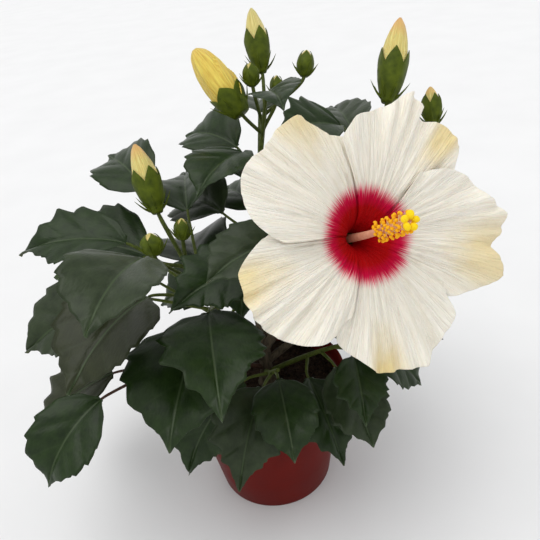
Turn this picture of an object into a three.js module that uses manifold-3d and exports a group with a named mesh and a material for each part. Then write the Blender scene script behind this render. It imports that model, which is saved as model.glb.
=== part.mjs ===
// A young hibiscus shrub in a round nursery pot, with one wide open bloom, five large buds and several
// small ones. Millimetres, +Z up. The origin is the centre of the pot's flat underside; the bloom looks
// along -Y, turned a little to +X.
//
// A short main stem stands on the potting soil. Boughs fork from it, and each bough carries one leafy
// shoot: a tapering twig with leaf stalks, lobed and toothed blades, and buds on their own stalks. Each
// shoot is one solid. The pot, the soil, the boughs and the parts of the bloom are solids of their own.

import * as THREE from 'three';
import Module from 'manifold-3d';

const wasm = await Module();
wasm.setup();

const clearance = 0.3; // between pieces that touch
const shortest = 0.06; // detail that fusing may leave out
const degree = Math.PI / 180;

// ---- Pot and soil -----------------------------------------------------------------------------------

const pot = { height: 105, footRadius: 47.5, rimRadius: 65, wall: 1.8, floor: 3, lipHeight: 13, lipOut: 2.2 };
const drain = { count: 6, radius: 4, ring: 33 };
const soil = { top: 91, mound: 2.5 };

// ---- Limbs: each is one curve from the main stem to the tip of its shoot -----------------------------
// A share of the curve, up to `bough`, is the bare bough; the rest is the stem of the leafy shoot.

const mainStem = { foot: [2, 2, soil.top + soil.mound + clearance], top: [3, 6, 132], footRadius: 5.4,
  topRadius: 4.6, flare: 2.6 };

const limbs = {
  left: { from: [1, 3, 118], via: [-22, -6, 150], to: [-42, -18, 226], bough: 0.3, radius: [3.6, 1.8] },
  rear_left: { from: [3, 6, 132], via: [-2, 34, 190], to: [26, 72, 296], bough: 0.36, radius: [4.4, 1.8] },
  rear_right: { from: [4, 5, 127], via: [50, 22, 170], to: [98, 8, 290], bough: 0.34, radius: [3.8, 1.8] },
  bloom: { from: [3, 4, 123], via: [46, -9, 222], to: [61.3, -46.2, 243.2], bough: 0.3, radius: [3.4, 1.7] },
  right: { from: [3, 4, 112], via: [50, 2, 150], to: [112, 12, 190], bough: 0.3, radius: [3.2, 1.6] },
  back: { from: [2, 5, 121], via: [14, 50, 160], to: [46, 98, 205], bough: 0.3, radius: [3.4, 1.7] },
  low_front: { from: [2, 2, 104], via: [4, -30, 128], to: [12, -52, 150], bough: 0, radius: [2.2, 1.5] },
  low_left: { from: [2, 2, 108], via: [-30, -8, 128], to: [-54, -22, 150], bough: 0, radius: [2.2, 1.5] },
  low_right: { from: [2, 2, 102], via: [38, -12, 130], to: [66, -30, 148], bough: 0, radius: [2.2, 1.5] },
  low_back: { from: [2, 3, 108], via: [10, 38, 130], to: [16, 72, 152], bough: 0, radius: [2.2, 1.5] },
};

// ---- Leaves ------------------------------------------------------------------------------------------
// Bearings turn anticlockwise from +X seen from above, rises are above the horizon, both in degrees.
// Each shoot fans its leaves over an arc of bearings about a middle one, a fixed turn from each to the next,
// from the first to the last place on its limb.
const leafTurn = 137.5;
const leafLean = 25; // how far a blade to one side turns its face to the front
const ruleLeaves = {
  left: { count: 12, first: 0.5, last: 1, middle: 190, arc: 220, blade: 88, rise: 4, stalk: 54 },
  low_left: { count: 3, first: 0.6, last: 1, middle: 195, arc: 70, blade: 84, rise: -20, stalk: 70 },
  low_front: { count: 3, first: 0.5, last: 0.9, middle: 255, arc: 110, blade: 76, rise: -14, stalk: 18 },
  low_right: { count: 4, first: 0.5, last: 1, middle: 310, arc: 110, blade: 62, rise: -24, stalk: 26 },
  bloom: { count: 3, first: 0.5, last: 0.7, middle: 215, arc: 100, blade: 72, rise: 6, stalk: 44 },
  rear_left: { count: 11, first: 0.5, last: 0.98, middle: 190, arc: 250, blade: 68, rise: 6, stalk: 30 },
  rear_right: { count: 8, first: 0.5, last: 0.95, middle: 160, arc: 260, blade: 66, rise: 4, stalk: 30 },
  right: { count: 6, first: 0.45, last: 1, middle: 0, arc: 300, blade: 66, rise: 10, stalk: 28 },
  back: { count: 9, first: 0.5, last: 1, middle: 90, arc: 200, blade: 70, rise: 2, stalk: 44 },
  low_back: { count: 5, first: 0.5, last: 1, middle: 100, arc: 200, blade: 74, rise: -18, stalk: 36 },
};

const leafShape = { sweep: 0.1, fold: 13, ripple: 0.03, thickness: 0.017, stalkRadius: 1.1 };

// A stalk leaves its limb, curves, and arrives in line with the blade or bud it carries. No two stalks of a
// limb have the same root: each stands a step lower than its place.
const stalk = { rootStep: 0.008, bend: 0.35, greatestBend: 8, shares: [0, 0.3, 0.55, 0.75, 0.9] };

// Each form is a list of [share of the length, share of the greatest half width]; a steep step is a tooth.
const forms = {
  ovate: [[0.02, 0.12], [0.08, 0.52], [0.2, 0.87], [0.36, 1], [0.52, 0.93], [0.66, 0.74], [0.68, 0.6],
    [0.78, 0.42], [0.8, 0.3], [0.9, 0.12], [1, 0]],
  lobed: [[0.02, 0.14], [0.08, 0.5], [0.2, 0.78], [0.34, 1], [0.38, 0.84], [0.52, 0.92], [0.56, 0.58],
    [0.68, 0.5], [0.71, 0.32], [0.86, 0.13], [1, 0]],
};

// ---- Buds --------------------------------------------------------------------------------------------
// [place on the limb, stalk: bearing, rise, length, bud: bearing, rise, length, greatest radius]

const buds = {
  rear_left: [
    [1.00, 86, 52, 30, 96, 60, 47, 9],
    [0.93, 218, 46, 27, 137, 48, 55, 13],
    [1.00, 6, 32, 37, 67, 56, 19, 6],
    [0.955, 8, 56, 22, 79, 60, 15, 4.5],
    [0.98, 240, 64, 28, 92, 62, 16, 5.5],
  ],
  rear_right: [
    [1.00, 12, 75, 21, 62, 54, 54, 9.3],
    [0.90, 14, 20, 54, 85, 60, 26, 6.5],
  ],
  left: [
    [1.00, 134, 61, 38, 112, 56, 47, 9.3],
    [0.97, 220, 40, 29, 102, 60, 15, 7.3],
    [0.98, 300, 80, 21, 84, 62, 14, 5],
  ],
};
const bractCount = 5;

// ---- Bloom -------------------------------------------------------------------------------------------
// Its own frame: `out` looks out of the throat, angles turn anticlockwise as seen from in front.

// The claws stand evenly round the throat, and each blade spreads its own way. A petal's rim is how far it
// reaches at even steps across, from its clockwise edge to the other one.

const bloom = { bearing: -67, rise: 28, base: [64.1, -52.7, 246.9], throatRadius: 3.6, reach: 80, depth: 29,
  opening: 0.17, reflex: 5, clawHalf: 32.5, overlap: 2.4, ruffle: 2.2, thickness: 0.9 };
const petals = [
  { claw: 120, angle: 125, half: 43, rim: [55, 61, 78, 79, 77, 82, 78, 70, 52] },
  { claw: 48, angle: 51, half: 39, rim: [66, 88, 90, 82, 92, 78, 71, 67, 55] },
  { claw: -24, angle: -11, half: 41, rim: [64, 82, 101, 93, 104, 88, 80, 66, 50] },
  { claw: -96, angle: -91, half: 44, rim: [50, 64, 71, 80, 81, 85, 78, 71, 55] },
  { claw: 192, angle: 197, half: 39, rim: [55, 68, 79, 82, 82, 79, 74, 66, 48] },
];
const column = { length: 66, baseRadius: 2.7, tipRadius: 1.3, bend: 5, stamens: 18, stamenFrom: 0.52,
  stamenTo: 0.93, filament: 5.5, anther: 1.5, stigmas: 5, stigmaRadius: 2 };
const calyx = { seat: -0.75, length: 24, footLength: 8, footRadius: 4.6, lobes: 5, bracts: 7, bractLength: 20,
  wall: 1 };

// ---- Small vector helpers ------------------------------------------------------------------------------

const add = (a, b, k = 1) => [a[0] + k * b[0], a[1] + k * b[1], a[2] + k * b[2]];
const minus = (a, b) => [a[0] - b[0], a[1] - b[1], a[2] - b[2]];
const cross = (a, b) => [a[1] * b[2] - a[2] * b[1], a[2] * b[0] - a[0] * b[2], a[0] * b[1] - a[1] * b[0]];
const dot = (a, b) => a[0] * b[0] + a[1] * b[1] + a[2] * b[2];
const size = (a) => Math.hypot(a[0], a[1], a[2]);
const unit = (a) => [a[0] / size(a), a[1] / size(a), a[2] / size(a)];

function heading(bearing, rise) {
  const [b, r] = [bearing * degree, rise * degree];
  return [Math.cos(b) * Math.cos(r), Math.sin(b) * Math.cos(r), Math.sin(r)];
}

// A seeded stream of numbers from 0 to 1.
function dice(seed) {
  let state = seed;
  return () => {
    state = (state * 16807) % 2147483647;
    return state / 2147483647;
  };
}

// ---- Solids --------------------------------------------------------------------------------------------

function solidFrom(points, triangles) {
  const build = (order) => new wasm.Manifold(new wasm.Mesh({
    numProp: 3,
    vertProperties: Float32Array.from(points.flat()),
    triVerts: Uint32Array.from(order),
  }));
  const solid = build(triangles);
  if (solid.volume() > 0) return solid;
  const turned = [];
  for (let i = 0; i < triangles.length; i += 3) turned.push(triangles[i], triangles[i + 2], triangles[i + 1]);
  return build(turned);
}

// A skin over rings of equal count, closed by a flat fan at each end, or by a point where a ring has one.
// Neighbouring quads are cut along opposite diagonals, so the two faces of a thin blade bend alike.
function loft(rings) {
  const points = rings.flat();
  const starts = [];
  let total = 0;
  for (const ring of rings) {
    starts.push(total);
    total += ring.length;
  }
  const count = Math.max(...rings.map((ring) => ring.length));
  const at = (r, i) => starts[r] + (rings[r].length === 1 ? 0 : i % count);
  const triangles = [];
  const face = (a, b, c) => {
    if (a !== b && b !== c && c !== a) triangles.push(a, b, c);
  };
  for (let r = 0; r + 1 < rings.length; r++) {
    for (let i = 0; i < count; i++) {
      const turned = i % 2;
      face(at(r, i), at(r, i + 1), at(r + 1, i + turned));
      face(at(r, i + 1 - turned), at(r + 1, i + 1), at(r + 1, i));
    }
  }
  const last = rings.length - 1;
  for (let i = 1; i + 1 < count; i++) {
    face(at(0, 0), at(0, i + 1), at(0, i));
    face(at(last, 0), at(last, i), at(last, i + 1));
  }
  return solidFrom(points, triangles);
}

function ringIn(centre, across, out, radius, sides) {
  return Array.from({ length: sides }, (_, i) => {
    const a = Math.PI + (2 * Math.PI * i) / sides;
    return add(add(centre, across, radius * Math.cos(a)), out, radius * Math.sin(a));
  });
}

function acrossFrom(along) {
  return unit(cross(Math.abs(along[2]) > 0.95 ? [1, 0, 0] : [0, 0, 1], along));
}

function ringAround(centre, along, radius, sides) {
  const across = acrossFrom(along);
  return ringIn(centre, across, cross(across, along), radius, sides);
}

// A round limb through a list of points, with a radius at each.
function limbSolid(points, radii, sides) {
  const rings = points.map((p, i) => {
    const along = unit(minus(points[Math.min(i + 1, points.length - 1)], points[Math.max(i - 1, 0)]));
    return ringAround(p, along, radii[i], sides);
  });
  return loft(rings);
}

const fuse = (solids) => wasm.Manifold.union(solids);

// The largest closed body of a solid, so that no loose scrap is kept, without its shortest edges.
function onePiece(solid) {
  const bodies = solid.simplify(shortest).decompose();
  return bodies.reduce((best, body) => (body.volume() > best.volume() ? body : best));
}

// A solid's faces as a geometry, listed from its +X side to its -X side.
function geometryOf(solid) {
  const mesh = solid.getMesh();
  const sideOf = (face) => face.reduce((sum, corner) => sum + mesh.vertProperties[3 * corner], 0);
  const faces = [];
  for (let i = 0; i < mesh.triVerts.length; i += 3) faces.push(Array.from(mesh.triVerts.slice(i, i + 3)));
  faces.sort((one, other) => sideOf(other) - sideOf(one));
  const geometry = new THREE.BufferGeometry();
  geometry.setAttribute('position', new THREE.BufferAttribute(Float32Array.from(mesh.vertProperties), 3));
  geometry.setIndex(faces.flat());
  return geometry;
}

function solidOf(geometry) {
  const position = geometry.getAttribute('position');
  const keys = new Map();
  const points = [];
  const order = Array.from({ length: position.count }, (_, i) => {
    const p = [position.getX(i), position.getY(i), position.getZ(i)];
    const key = p.map((x) => Math.round(x * 1e4)).join();
    if (!keys.has(key)) {
      keys.set(key, points.length);
      points.push(p);
    }
    return keys.get(key);
  });
  const index = geometry.getIndex() ? Array.from(geometry.getIndex().array) : order.map((_, i) => i);
  const triangles = [];
  for (let i = 0; i < index.length; i += 3) {
    const [a, b, c] = [order[index[i]], order[index[i + 1]], order[index[i + 2]]];
    if (a !== b && b !== c && c !== a) triangles.push(a, b, c);
  }
  return solidFrom(points, triangles);
}

// ---- The rule that lays out limbs, leaves and buds -----------------------------------------------------

function onLimb(limb, t) {
  const [a, b, c] = [(1 - t) * (1 - t), 2 * t * (1 - t), t * t];
  return [0, 1, 2].map((i) => a * limb.from[i] + b * limb.via[i] + c * limb.to[i]);
}

function alongLimb(limb, t) {
  return unit([0, 1, 2].map((i) => (1 - t) * (limb.via[i] - limb.from[i]) + t * (limb.to[i] - limb.via[i])));
}

const limbRadius = (limb, t) => limb.radius[0] + (limb.radius[1] - limb.radius[0]) * t;

// A point of the midrib at share s of the blade, with the directions along, across and out of its face.
function midrib(leaf, s) {
  const [b, start, bend] = [leaf.bearing * degree, leaf.rise * degree, leaf.droop * degree];
  const r = start - bend * s;
  const reach = (leaf.length / bend) * (Math.sin(start) - Math.sin(r));
  const climb = (leaf.length / bend) * (Math.cos(r) - Math.cos(start));
  const point = add(leaf.base, [Math.cos(b) * reach, Math.sin(b) * reach, climb]);
  const level = [Math.sin(b), -Math.cos(b), 0];
  const above = [-Math.cos(b) * Math.sin(r), -Math.sin(b) * Math.sin(r), Math.cos(r)];
  const [c, k] = [Math.cos(leaf.roll * degree), Math.sin(leaf.roll * degree)];
  const across = add([c * level[0], c * level[1], c * level[2]], above, k);
  const out = add([c * above[0], c * above[1], c * above[2]], level, -k);
  return { point, across, out };
}

// A point of a stalk at share t, from its root to its end, where it runs along `arrival`.
function onStalk({ root, base, arrival }, t) {
  const run = minus(base, root);
  const bend = Math.min(stalk.bend * size(run), stalk.greatestBend);
  const knots = [root, add(root, run, 0.4), add(base, arrival, -bend), base];
  const weights = [(1 - t) ** 3, 3 * t * (1 - t) ** 2, 3 * t * t * (1 - t), t ** 3];
  return knots.reduce((sum, knot, i) => add(sum, knot, weights[i]), [0, 0, 0]);
}

// The rings of a stalk, turned so that the last one lies like the ring that `across` starts.
function stalkRings(path, across, radii, sides) {
  const rings = [];
  let side = across;
  for (let i = stalk.shares.length - 1; i >= 0; i--) {
    const t = stalk.shares[i];
    const along = unit(minus(onStalk(path, t + 0.01), onStalk(path, t - 0.01)));
    side = unit(add(side, along, -dot(side, along)));
    rings.unshift(ringIn(onStalk(path, t), side, cross(side, along), radii[0] + (radii[1] - radii[0]) * t, sides));
  }
  return rings;
}

// Half the blade's width at share s of its length.
function halfWidth(leaf, s) {
  const form = forms[leaf.form];
  const i = Math.max(1, form.findIndex((knot) => knot[0] >= s));
  const [[s0, w0], [s1, w1]] = [form[i - 1], form[i]];
  return leaf.width * leaf.length * (w0 + ((w1 - w0) * (s - s0)) / (s1 - s0));
}

// A point of the blade's middle surface; v runs from -1 to 1 across it.
function onBlade(leaf, s, v) {
  const swept = s + leafShape.sweep * v * v * Math.sin(Math.PI * s);
  const { point, across, out } = midrib(leaf, swept);
  const w = halfWidth(leaf, s) * v;
  const lift = Math.abs(w) * Math.tan(leafShape.fold * degree)
    + leafShape.ripple * leaf.length * Math.abs(v) * Math.sin(9 * s + leaf.phase + (v > 0 ? 1.3 : 0));
  return add(add(point, across, w), out, lift);
}

function leafFrom(limbName, limb, row, order, chance) {
  const [place, stalkBearing, stalkRise, stalkLength, bearing, rise, length, droop, roll, width, form] = row;
  const root = onLimb(limb, place - stalk.rootStep * (order + 1));
  const base = add(onLimb(limb, place), heading(stalkBearing, stalkRise), stalkLength);
  return { limbName, root, base, bearing, rise, length, droop, roll, width, form, phase: 6.28 * chance() };
}

const leafStalk = ({ root, base, bearing, rise }) => ({ root, base, arrival: heading(bearing, rise) });

function rowsByRule(rule, chance) {
  return Array.from({ length: rule.count }, (_, i) => {
    const share = i / (rule.count - 1);
    const fan = rule.arc * (((i * leafTurn) / 360) % 1 - 0.5);
    const bearing = rule.middle + fan + 20 * (chance() - 0.5);
    const rise = rule.rise + 20 * share + 16 * (chance() - 0.5);
    const stalkLength = rule.stalk * (0.75 + 0.5 * chance());
    const droop = 35 + 25 * chance();
    const roll = 20 * (chance() - 0.5) - leafLean * Math.cos(bearing * degree);
    const width = 0.34 + 0.06 * chance();
    const form = chance() < 0.35 ? 'lobed' : 'ovate';
    const place = rule.first + (rule.last - rule.first) * share;
    const length = rule.blade * (1.1 - 0.3 * share);
    return [place, bearing, rise + 14, stalkLength, bearing, rise, length, droop, roll, width, form];
  });
}

// Points that stand for a piece when leaves look for room: {p, limb name}.
function bladePoints(leaf) {
  const points = [];
  for (let i = 1; i <= 16; i++) {
    for (let j = -4; j <= 4; j++) points.push(onBlade(leaf, i / 16, j / 4));
  }
  return points;
}

function stalkPoints(path) {
  const steps = Math.ceil(size(minus(path.base, path.root)) / 6);
  return Array.from({ length: steps }, (_, i) => onStalk(path, (i + 1) / (steps + 1)));
}

function potRadiusAt(z) {
  return pot.footRadius + ((pot.rimRadius - pot.footRadius) * Math.max(z, 0)) / pot.height;
}

const hitsPot = (p) => p[2] < pot.height + 4 && Math.hypot(p[0], p[1]) < potRadiusAt(p[2]) + 4;

const apart = { leaf: 6.4, ownLeaf: 5, stem: 5.5 };

function hasRoom(leaf, blade, taken) {
  if (blade.some((p) => hitsPot(p) || p[2] < 8)) return false;
  const stalkAt = stalkPoints(leafStalk(leaf));
  for (const other of taken) {
    const own = other.limbName === leaf.limbName;
    const gap = other.stem ? apart.stem : own ? apart.ownLeaf : apart.leaf;
    for (const p of blade) {
      const [x, y, z] = minus(p, other.p);
      if (x * x + y * y + z * z < gap * gap) return false;
    }
    if (own) continue;
    for (const p of stalkAt) {
      const [x, y, z] = minus(p, other.p);
      if (x * x + y * y + z * z < apart.stem * apart.stem) return false;
    }
  }
  return true;
}

function keepRoom(leaf, taken) {
  const points = [...bladePoints(leaf), ...stalkPoints(leafStalk(leaf))];
  for (const p of points) taken.push({ p, limbName: leaf.limbName });
}

const aside = [0, 8, -8, 16, -16, 26, -26, 38, -38, 50, -50];
const tilted = [0, -8, 8, -16, 16, -26, 26];

// A leaf that has no room turns aside or tilts, in steps, until it has; if none helps it is left out.
function settle(leaf, taken) {
  for (const tilt of tilted) {
    for (const turn of aside) {
      const tried = { ...leaf, bearing: leaf.bearing + turn, rise: leaf.rise + tilt };
      if (hasRoom(tried, bladePoints(tried), taken)) {
        keepRoom(tried, taken);
        return tried;
      }
    }
  }
  return null;
}

function budFrom(limb, row, order) {
  const [place, stalkBearing, stalkRise, stalkLength, bearing, rise, length, radius] = row;
  const root = onLimb(limb, place - stalk.rootStep * (order + 0.5));
  const base = add(onLimb(limb, place), heading(stalkBearing, stalkRise), stalkLength);
  return { root, base, arrival: heading(bearing, rise), length, radius };
}

// ---- The bloom's surfaces --------------------------------------------------------------------------------

const bloomOut = heading(bloom.bearing, bloom.rise);
const bloomSide = [-Math.sin(bloom.bearing * degree), Math.cos(bloom.bearing * degree), 0];
const bloomUp = cross(bloomOut, bloomSide);

function inBloom(radius, angle, height) {
  const [x, y] = [radius * Math.cos(angle * degree), radius * Math.sin(angle * degree)];
  return add(add(add(bloom.base, bloomSide, x), bloomUp, y), bloomOut, height);
}

// The funnel's height at a distance from the bloom's axis: it rises steeply, opens flat and bends back.
function funnelHeight(radius) {
  const t = Math.pow(Math.max(0, radius - bloom.throatRadius) / (bloom.reach - bloom.throatRadius), 0.8);
  return bloom.depth * (1 - Math.exp(-t / bloom.opening)) - bloom.reflex * t * t * t;
}

// A smooth curve through even steps of values, read at v from -1 to 1.
function through(values, v) {
  const last = values.length - 1;
  const x = Math.min(Math.max(((v + 1) / 2) * last, 0), last - 1e-9);
  const i = Math.floor(x);
  const f = x - i;
  const [a, b, c, d] = [i - 1, i, i + 1, i + 2].map((k) => values[Math.min(Math.max(k, 0), last)]);
  return b + 0.5 * f * (c - a + f * (2 * a - 5 * b + 4 * c - d + f * (3 * (b - c) + d - a)));
}

function onPetal(petal, s, v) {
  const radius = bloom.throatRadius + (through(petal.rim, v) - bloom.throatRadius) * Math.pow(s, 1.25);
  const spread = Math.sin((Math.min(1, Math.max(0, radius - bloom.throatRadius) / 40) * Math.PI) / 2);
  const middle = petal.claw + (petal.angle - petal.claw) * spread;
  const angle = middle + (bloom.clawHalf + (petal.half - bloom.clawHalf) * spread) * v;
  const share = radius / bloom.reach;
  const ruffle = bloom.ruffle * share * share * Math.sin(13 * angle * degree + 2 * share);
  const slope = funnelHeight(radius + 0.5) - funnelHeight(radius - 0.5);
  const lift = (bloom.overlap * v * spread) / Math.hypot(1, slope);
  return inBloom(radius - lift * slope, angle, funnelHeight(radius) + lift + ruffle);
}

// A closed shell of even thickness about a surface given by on(s, v), with s from 0 to 1 and v from -1 to 1.
function shell(on, stations, columns, thickness) {
  const step = 1e-3;
  const rings = stations.map((s) => {
    const [face, back] = [[], []];
    for (let j = 0; j <= columns; j++) {
      const v = -1 + (2 * j) / columns;
      const p = on(s, v);
      const down = minus(on(s + step, v), on(s - step, v));
      const side = minus(on(s, v + step), on(s, v - step));
      const out = unit(cross(down, side));
      face.push(add(p, out, thickness / 2));
      back.unshift(add(p, out, -thickness / 2));
    }
    return [...face, ...back];
  });
  return loftStrip(rings);
}

// Like loft, but each end is a strip between the shell's two faces.
function loftStrip(rings) {
  const count = rings[0].length;
  const triangles = [];
  const at = (r, i) => r * count + (i % count);
  for (let r = 0; r + 1 < rings.length; r++) {
    for (let i = 0; i < count; i++) {
      triangles.push(at(r, i), at(r, i + 1), at(r + 1, i + 1), at(r, i), at(r + 1, i + 1), at(r + 1, i));
    }
  }
  const last = rings.length - 1;
  for (let i = 0; i + 1 < count / 2; i++) {
    const [a, b, c, d] = [i, i + 1, count - 2 - i, count - 1 - i];
    triangles.push(at(0, a), at(0, c), at(0, b), at(0, a), at(0, d), at(0, c));
    triangles.push(at(last, a), at(last, b), at(last, c), at(last, a), at(last, c), at(last, d));
  }
  return solidFrom(rings.flat(), triangles);
}

// ---- Pieces ------------------------------------------------------------------------------------------------

const finish = (color, roughness) => new THREE.MeshStandardMaterial({ color, roughness, metalness: 0 });
const materials = {
  potPlastic: finish(0x6e1f1a, 0.5),
  pottingSoil: finish(0x2a1d15, 0.95),
  bark: finish(0x6f6350, 0.85),
  foliage: finish(0x2f4a2c, 0.5),
  petal: finish(0xf3ead6, 0.6),
  column: finish(0xf2b36b, 0.6),
  calyx: finish(0x4c5a16, 0.6),
};

const shrub = new THREE.Group();

function addPiece(name, solid, material) {
  const mesh = new THREE.Mesh(geometryOf(onePiece(solid)), material);
  mesh.name = name;
  shrub.add(mesh);
}

function lathe(profile, segments) {
  return solidOf(new THREE.LatheGeometry(profile.map(([r, z]) => new THREE.Vector2(r, z)), segments)
    .rotateX(Math.PI / 2));
}

function cylinder(radius, height, x, y, z) {
  return solidOf(new THREE.CylinderGeometry(radius, radius, height, 12).rotateX(Math.PI / 2).translate(x, y, z));
}

function makePot() {
  const { height, footRadius, wall, floor, lipHeight, lipOut } = pot;
  const body = pot.rimRadius - lipOut;
  const lipFoot = height - lipHeight;
  const bodyAt = (z) => footRadius + ((body - footRadius) * z) / height;
  const shellSolid = lathe([
    [0, 0], [footRadius - 1, 0], [footRadius, 1], [bodyAt(lipFoot), lipFoot], [bodyAt(lipFoot) + lipOut, lipFoot + 1],
    [pot.rimRadius, height - 0.8], [pot.rimRadius - 0.8, height], [pot.rimRadius - wall - 0.6, height],
    [bodyAt(lipFoot) + lipOut - wall, lipFoot + 1 + wall], [bodyAt(lipFoot) - wall, lipFoot + wall - 1],
    [footRadius - wall + 0.2, floor], [0, floor],
  ], 32);
  const holes = Array.from({ length: drain.count }, (_, i) => {
    const a = (2 * Math.PI * i) / drain.count;
    return cylinder(drain.radius, 3 * floor, drain.ring * Math.cos(a), drain.ring * Math.sin(a), floor / 2);
  });
  return shellSolid.subtract(fuse(holes));
}

function makeSoil() {
  const { footRadius, wall, floor, lipOut, height } = pot;
  const bodyAt = (z) => footRadius + ((pot.rimRadius - lipOut - footRadius) * z) / height - wall - clearance;
  return lathe([[0, floor + clearance], [bodyAt(floor) - 0.3, floor + clearance], [bodyAt(soil.top - 1), soil.top - 1],
    [bodyAt(soil.top) - 3, soil.top + 0.6], [28, soil.top + soil.mound], [0, soil.top + soil.mound]], 32);
}

function makeMainStem(extra = 0) {
  const { foot, top, footRadius, topRadius, flare } = mainStem;
  const shares = [0, 0.12, 0.3, 0.65, 1];
  const points = shares.map((s) => add(foot, minus(top, foot), s));
  const radii = shares.map((s) => footRadius + (topRadius - footRadius) * s + flare * Math.exp(-s / 0.1) + extra);
  if (!extra) {
    return loft(points.map((p, i) => ringAround(p, [0, 0, 1], radii[i], 12)));
  }
  points.unshift(add(foot, [0, 0, -3]));
  points.push(add(top, [0, 0, clearance]));
  radii.unshift(radii[0]);
  radii.push(radii[radii.length - 1]);
  return loft(points.map((p, i) => ringAround(p, [0, 0, 1], radii[i], 12)));
}

const trunkRoom = makeMainStem(clearance);

function makeLimb(limb, from, to, steps, sides, extra = 0) {
  const points = [];
  const radii = [];
  for (let i = 0; i <= steps; i++) {
    const t = from + ((to - from) * i) / steps;
    points.push(onLimb(limb, t));
    radii.push(limbRadius(limb, t) + extra);
  }
  if (from > 0) points[0] = add(points[0], alongLimb(limb, from), clearance);
  const rings = points.map((p, i) => ringAround(p, alongLimb(limb, from + ((to - from) * i) / steps), radii[i], sides));
  return loft(rings);
}

function makeLeaf(leaf) {
  const { thickness, stalkRadius } = leafShape;
  const blade = forms[leaf.form].slice(0, -1).map(([s]) => {
    const { point, out } = midrib(leaf, s);
    const thick = (thickness * leaf.length * (1.25 - s)) / 2;
    return [onBlade(leaf, s, -1), add(point, out, -thick), onBlade(leaf, s, 1), add(point, out, thick)];
  });
  const rings = stalkRings(leafStalk(leaf), midrib(leaf, 0).across, [1.25 * stalkRadius, 0.85 * stalkRadius], 4);
  return loft([...rings, ...blade, [onBlade(leaf, 1, 0)]]);
}

function makeSpike(from, direction, length, radius, sides = 3) {
  const ring = ringAround(from, direction, radius, sides);
  return loft([ring, ringAround(add(from, direction, 0.55 * length), direction, 0.8 * radius, sides),
    [add(from, direction, length)]]);
}

function makeBud(bud) {
  const { base, arrival, length, radius } = bud;
  const across = acrossFrom(arrival);
  const profile = [[-0.04, 0.25], [0.06, 0.48], [0.2, 0.74], [0.36, 0.98], [0.52, 1], [0.66, 0.9], [0.8, 0.72],
    [0.92, 0.42]];
  const body = profile.map(([h, r]) => ringAround(add(base, arrival, h * length), arrival, r * radius, 6));
  const bracts = ringAround([0, 0, 0], arrival, 1, bractCount).map((side) => {
    const lean = unit(add(arrival, side, 0.9));
    return makeSpike(add(base, side, 0.2 * radius), lean, 0.9 * radius + 4.5, 0.9);
  });
  const rings = stalkRings(bud, across, [1.4, 1.3], 6);
  return [loft([...rings, ...body, [add(base, arrival, length)]]), ...bracts];
}

function makePetal(petal) {
  const stations = [0.01, 0.1, 0.22, 0.36, 0.52, 0.68, 0.84, 1];
  return shell((s, v) => onPetal(petal, s, v), stations, 8, bloom.thickness);
}

function makeColumn() {
  const { length, baseRadius, tipRadius, bend, stamens, stamenFrom, stamenTo, filament, anther } = column;
  const at = (s) => inBloom(bend * s * s, 60, calyx.seat + clearance + length * s);
  const shares = [0, 0.15, 0.5, 0.93];
  const stem = limbSolid(shares.map(at), shares.map((s) => baseRadius + (tipRadius - baseRadius) * s), 8);
  const parts = [stem];
  for (let i = 0; i < stamens; i++) {
    const s = stamenFrom + ((stamenTo - stamenFrom) * i) / (stamens - 1);
    const turn = leafTurn * i;
    const foot = at(s);
    const tip = add(minus(inBloom(filament, turn, 1.5), bloom.base), foot);
    const direction = unit(minus(tip, foot));
    parts.push(loft([ringAround(foot, direction, 0.45, 4), ringAround(add(tip, direction, -anther), direction, 0.4, 4),
      ringAround(tip, direction, anther, 4), [add(tip, direction, anther)]]));
  }
  for (let i = 0; i < column.stigmas; i++) {
    const foot = at(0.9);
    const tip = add(minus(inBloom(3.2, (360 * i) / column.stigmas, 7.5), bloom.base), foot);
    const direction = unit(minus(tip, foot));
    parts.push(loft([ringAround(foot, direction, 0.8, 5), ringAround(add(tip, direction, -1.5), direction, 0.6, 5),
      ringAround(tip, direction, column.stigmaRadius, 5), [add(tip, direction, 1.6)]]));
  }
  return fuse(parts);
}

// The calyx is a cup round the petals' claws, its rim cut into pointed lobes, on a foot ringed with bracts.
function makeCalyx() {
  const { seat, length, footLength, footRadius, lobes, bracts, bractLength, wall } = calyx;
  const columns = 4 * lobes;
  const turnOf = (i) => 80 + (360 * i) / columns;
  const topOf = (i) => [1, 0.62, 0.12, 0.62][i % 4];
  const round = (r, h) => Array.from({ length: columns }, (_, i) => inBloom(r, turnOf(i), h));
  const upWall = (share, offset) => Array.from({ length: columns }, (_, i) => {
    const rise = (length - footLength) * topOf(i) * share;
    const t = -bloom.opening * Math.log(1 - (rise + 0.3) / bloom.depth);
    const tube = bloom.throatRadius + (bloom.reach - bloom.throatRadius) * Math.pow(t, 1.25);
    return inBloom(tube + offset + 0.14 * rise, turnOf(i), seat + rise);
  });
  const parts = [loft([round(2, clearance - footLength), round(footRadius, -0.6 * footLength),
    upWall(0, 1.1 + wall), upWall(0.5, 1.1 + wall), upWall(1, 1.1 + wall), upWall(1, 1.1), upWall(0.5, 1.1),
    upWall(0, 1.1)])];
  for (let i = 0; i < bracts; i++) {
    const angle = 30 + (360 * i) / bracts;
    const direction = unit(minus(inBloom(1, angle, 0.75), inBloom(0, angle, 0)));
    parts.push(makeSpike(inBloom(footRadius - 1.6, angle, -0.6 * footLength), direction, bractLength, 1.2));
  }
  return fuse(parts);
}

// ---- Lay the plant out, then make its pieces ------------------------------------------------------------------

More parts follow.
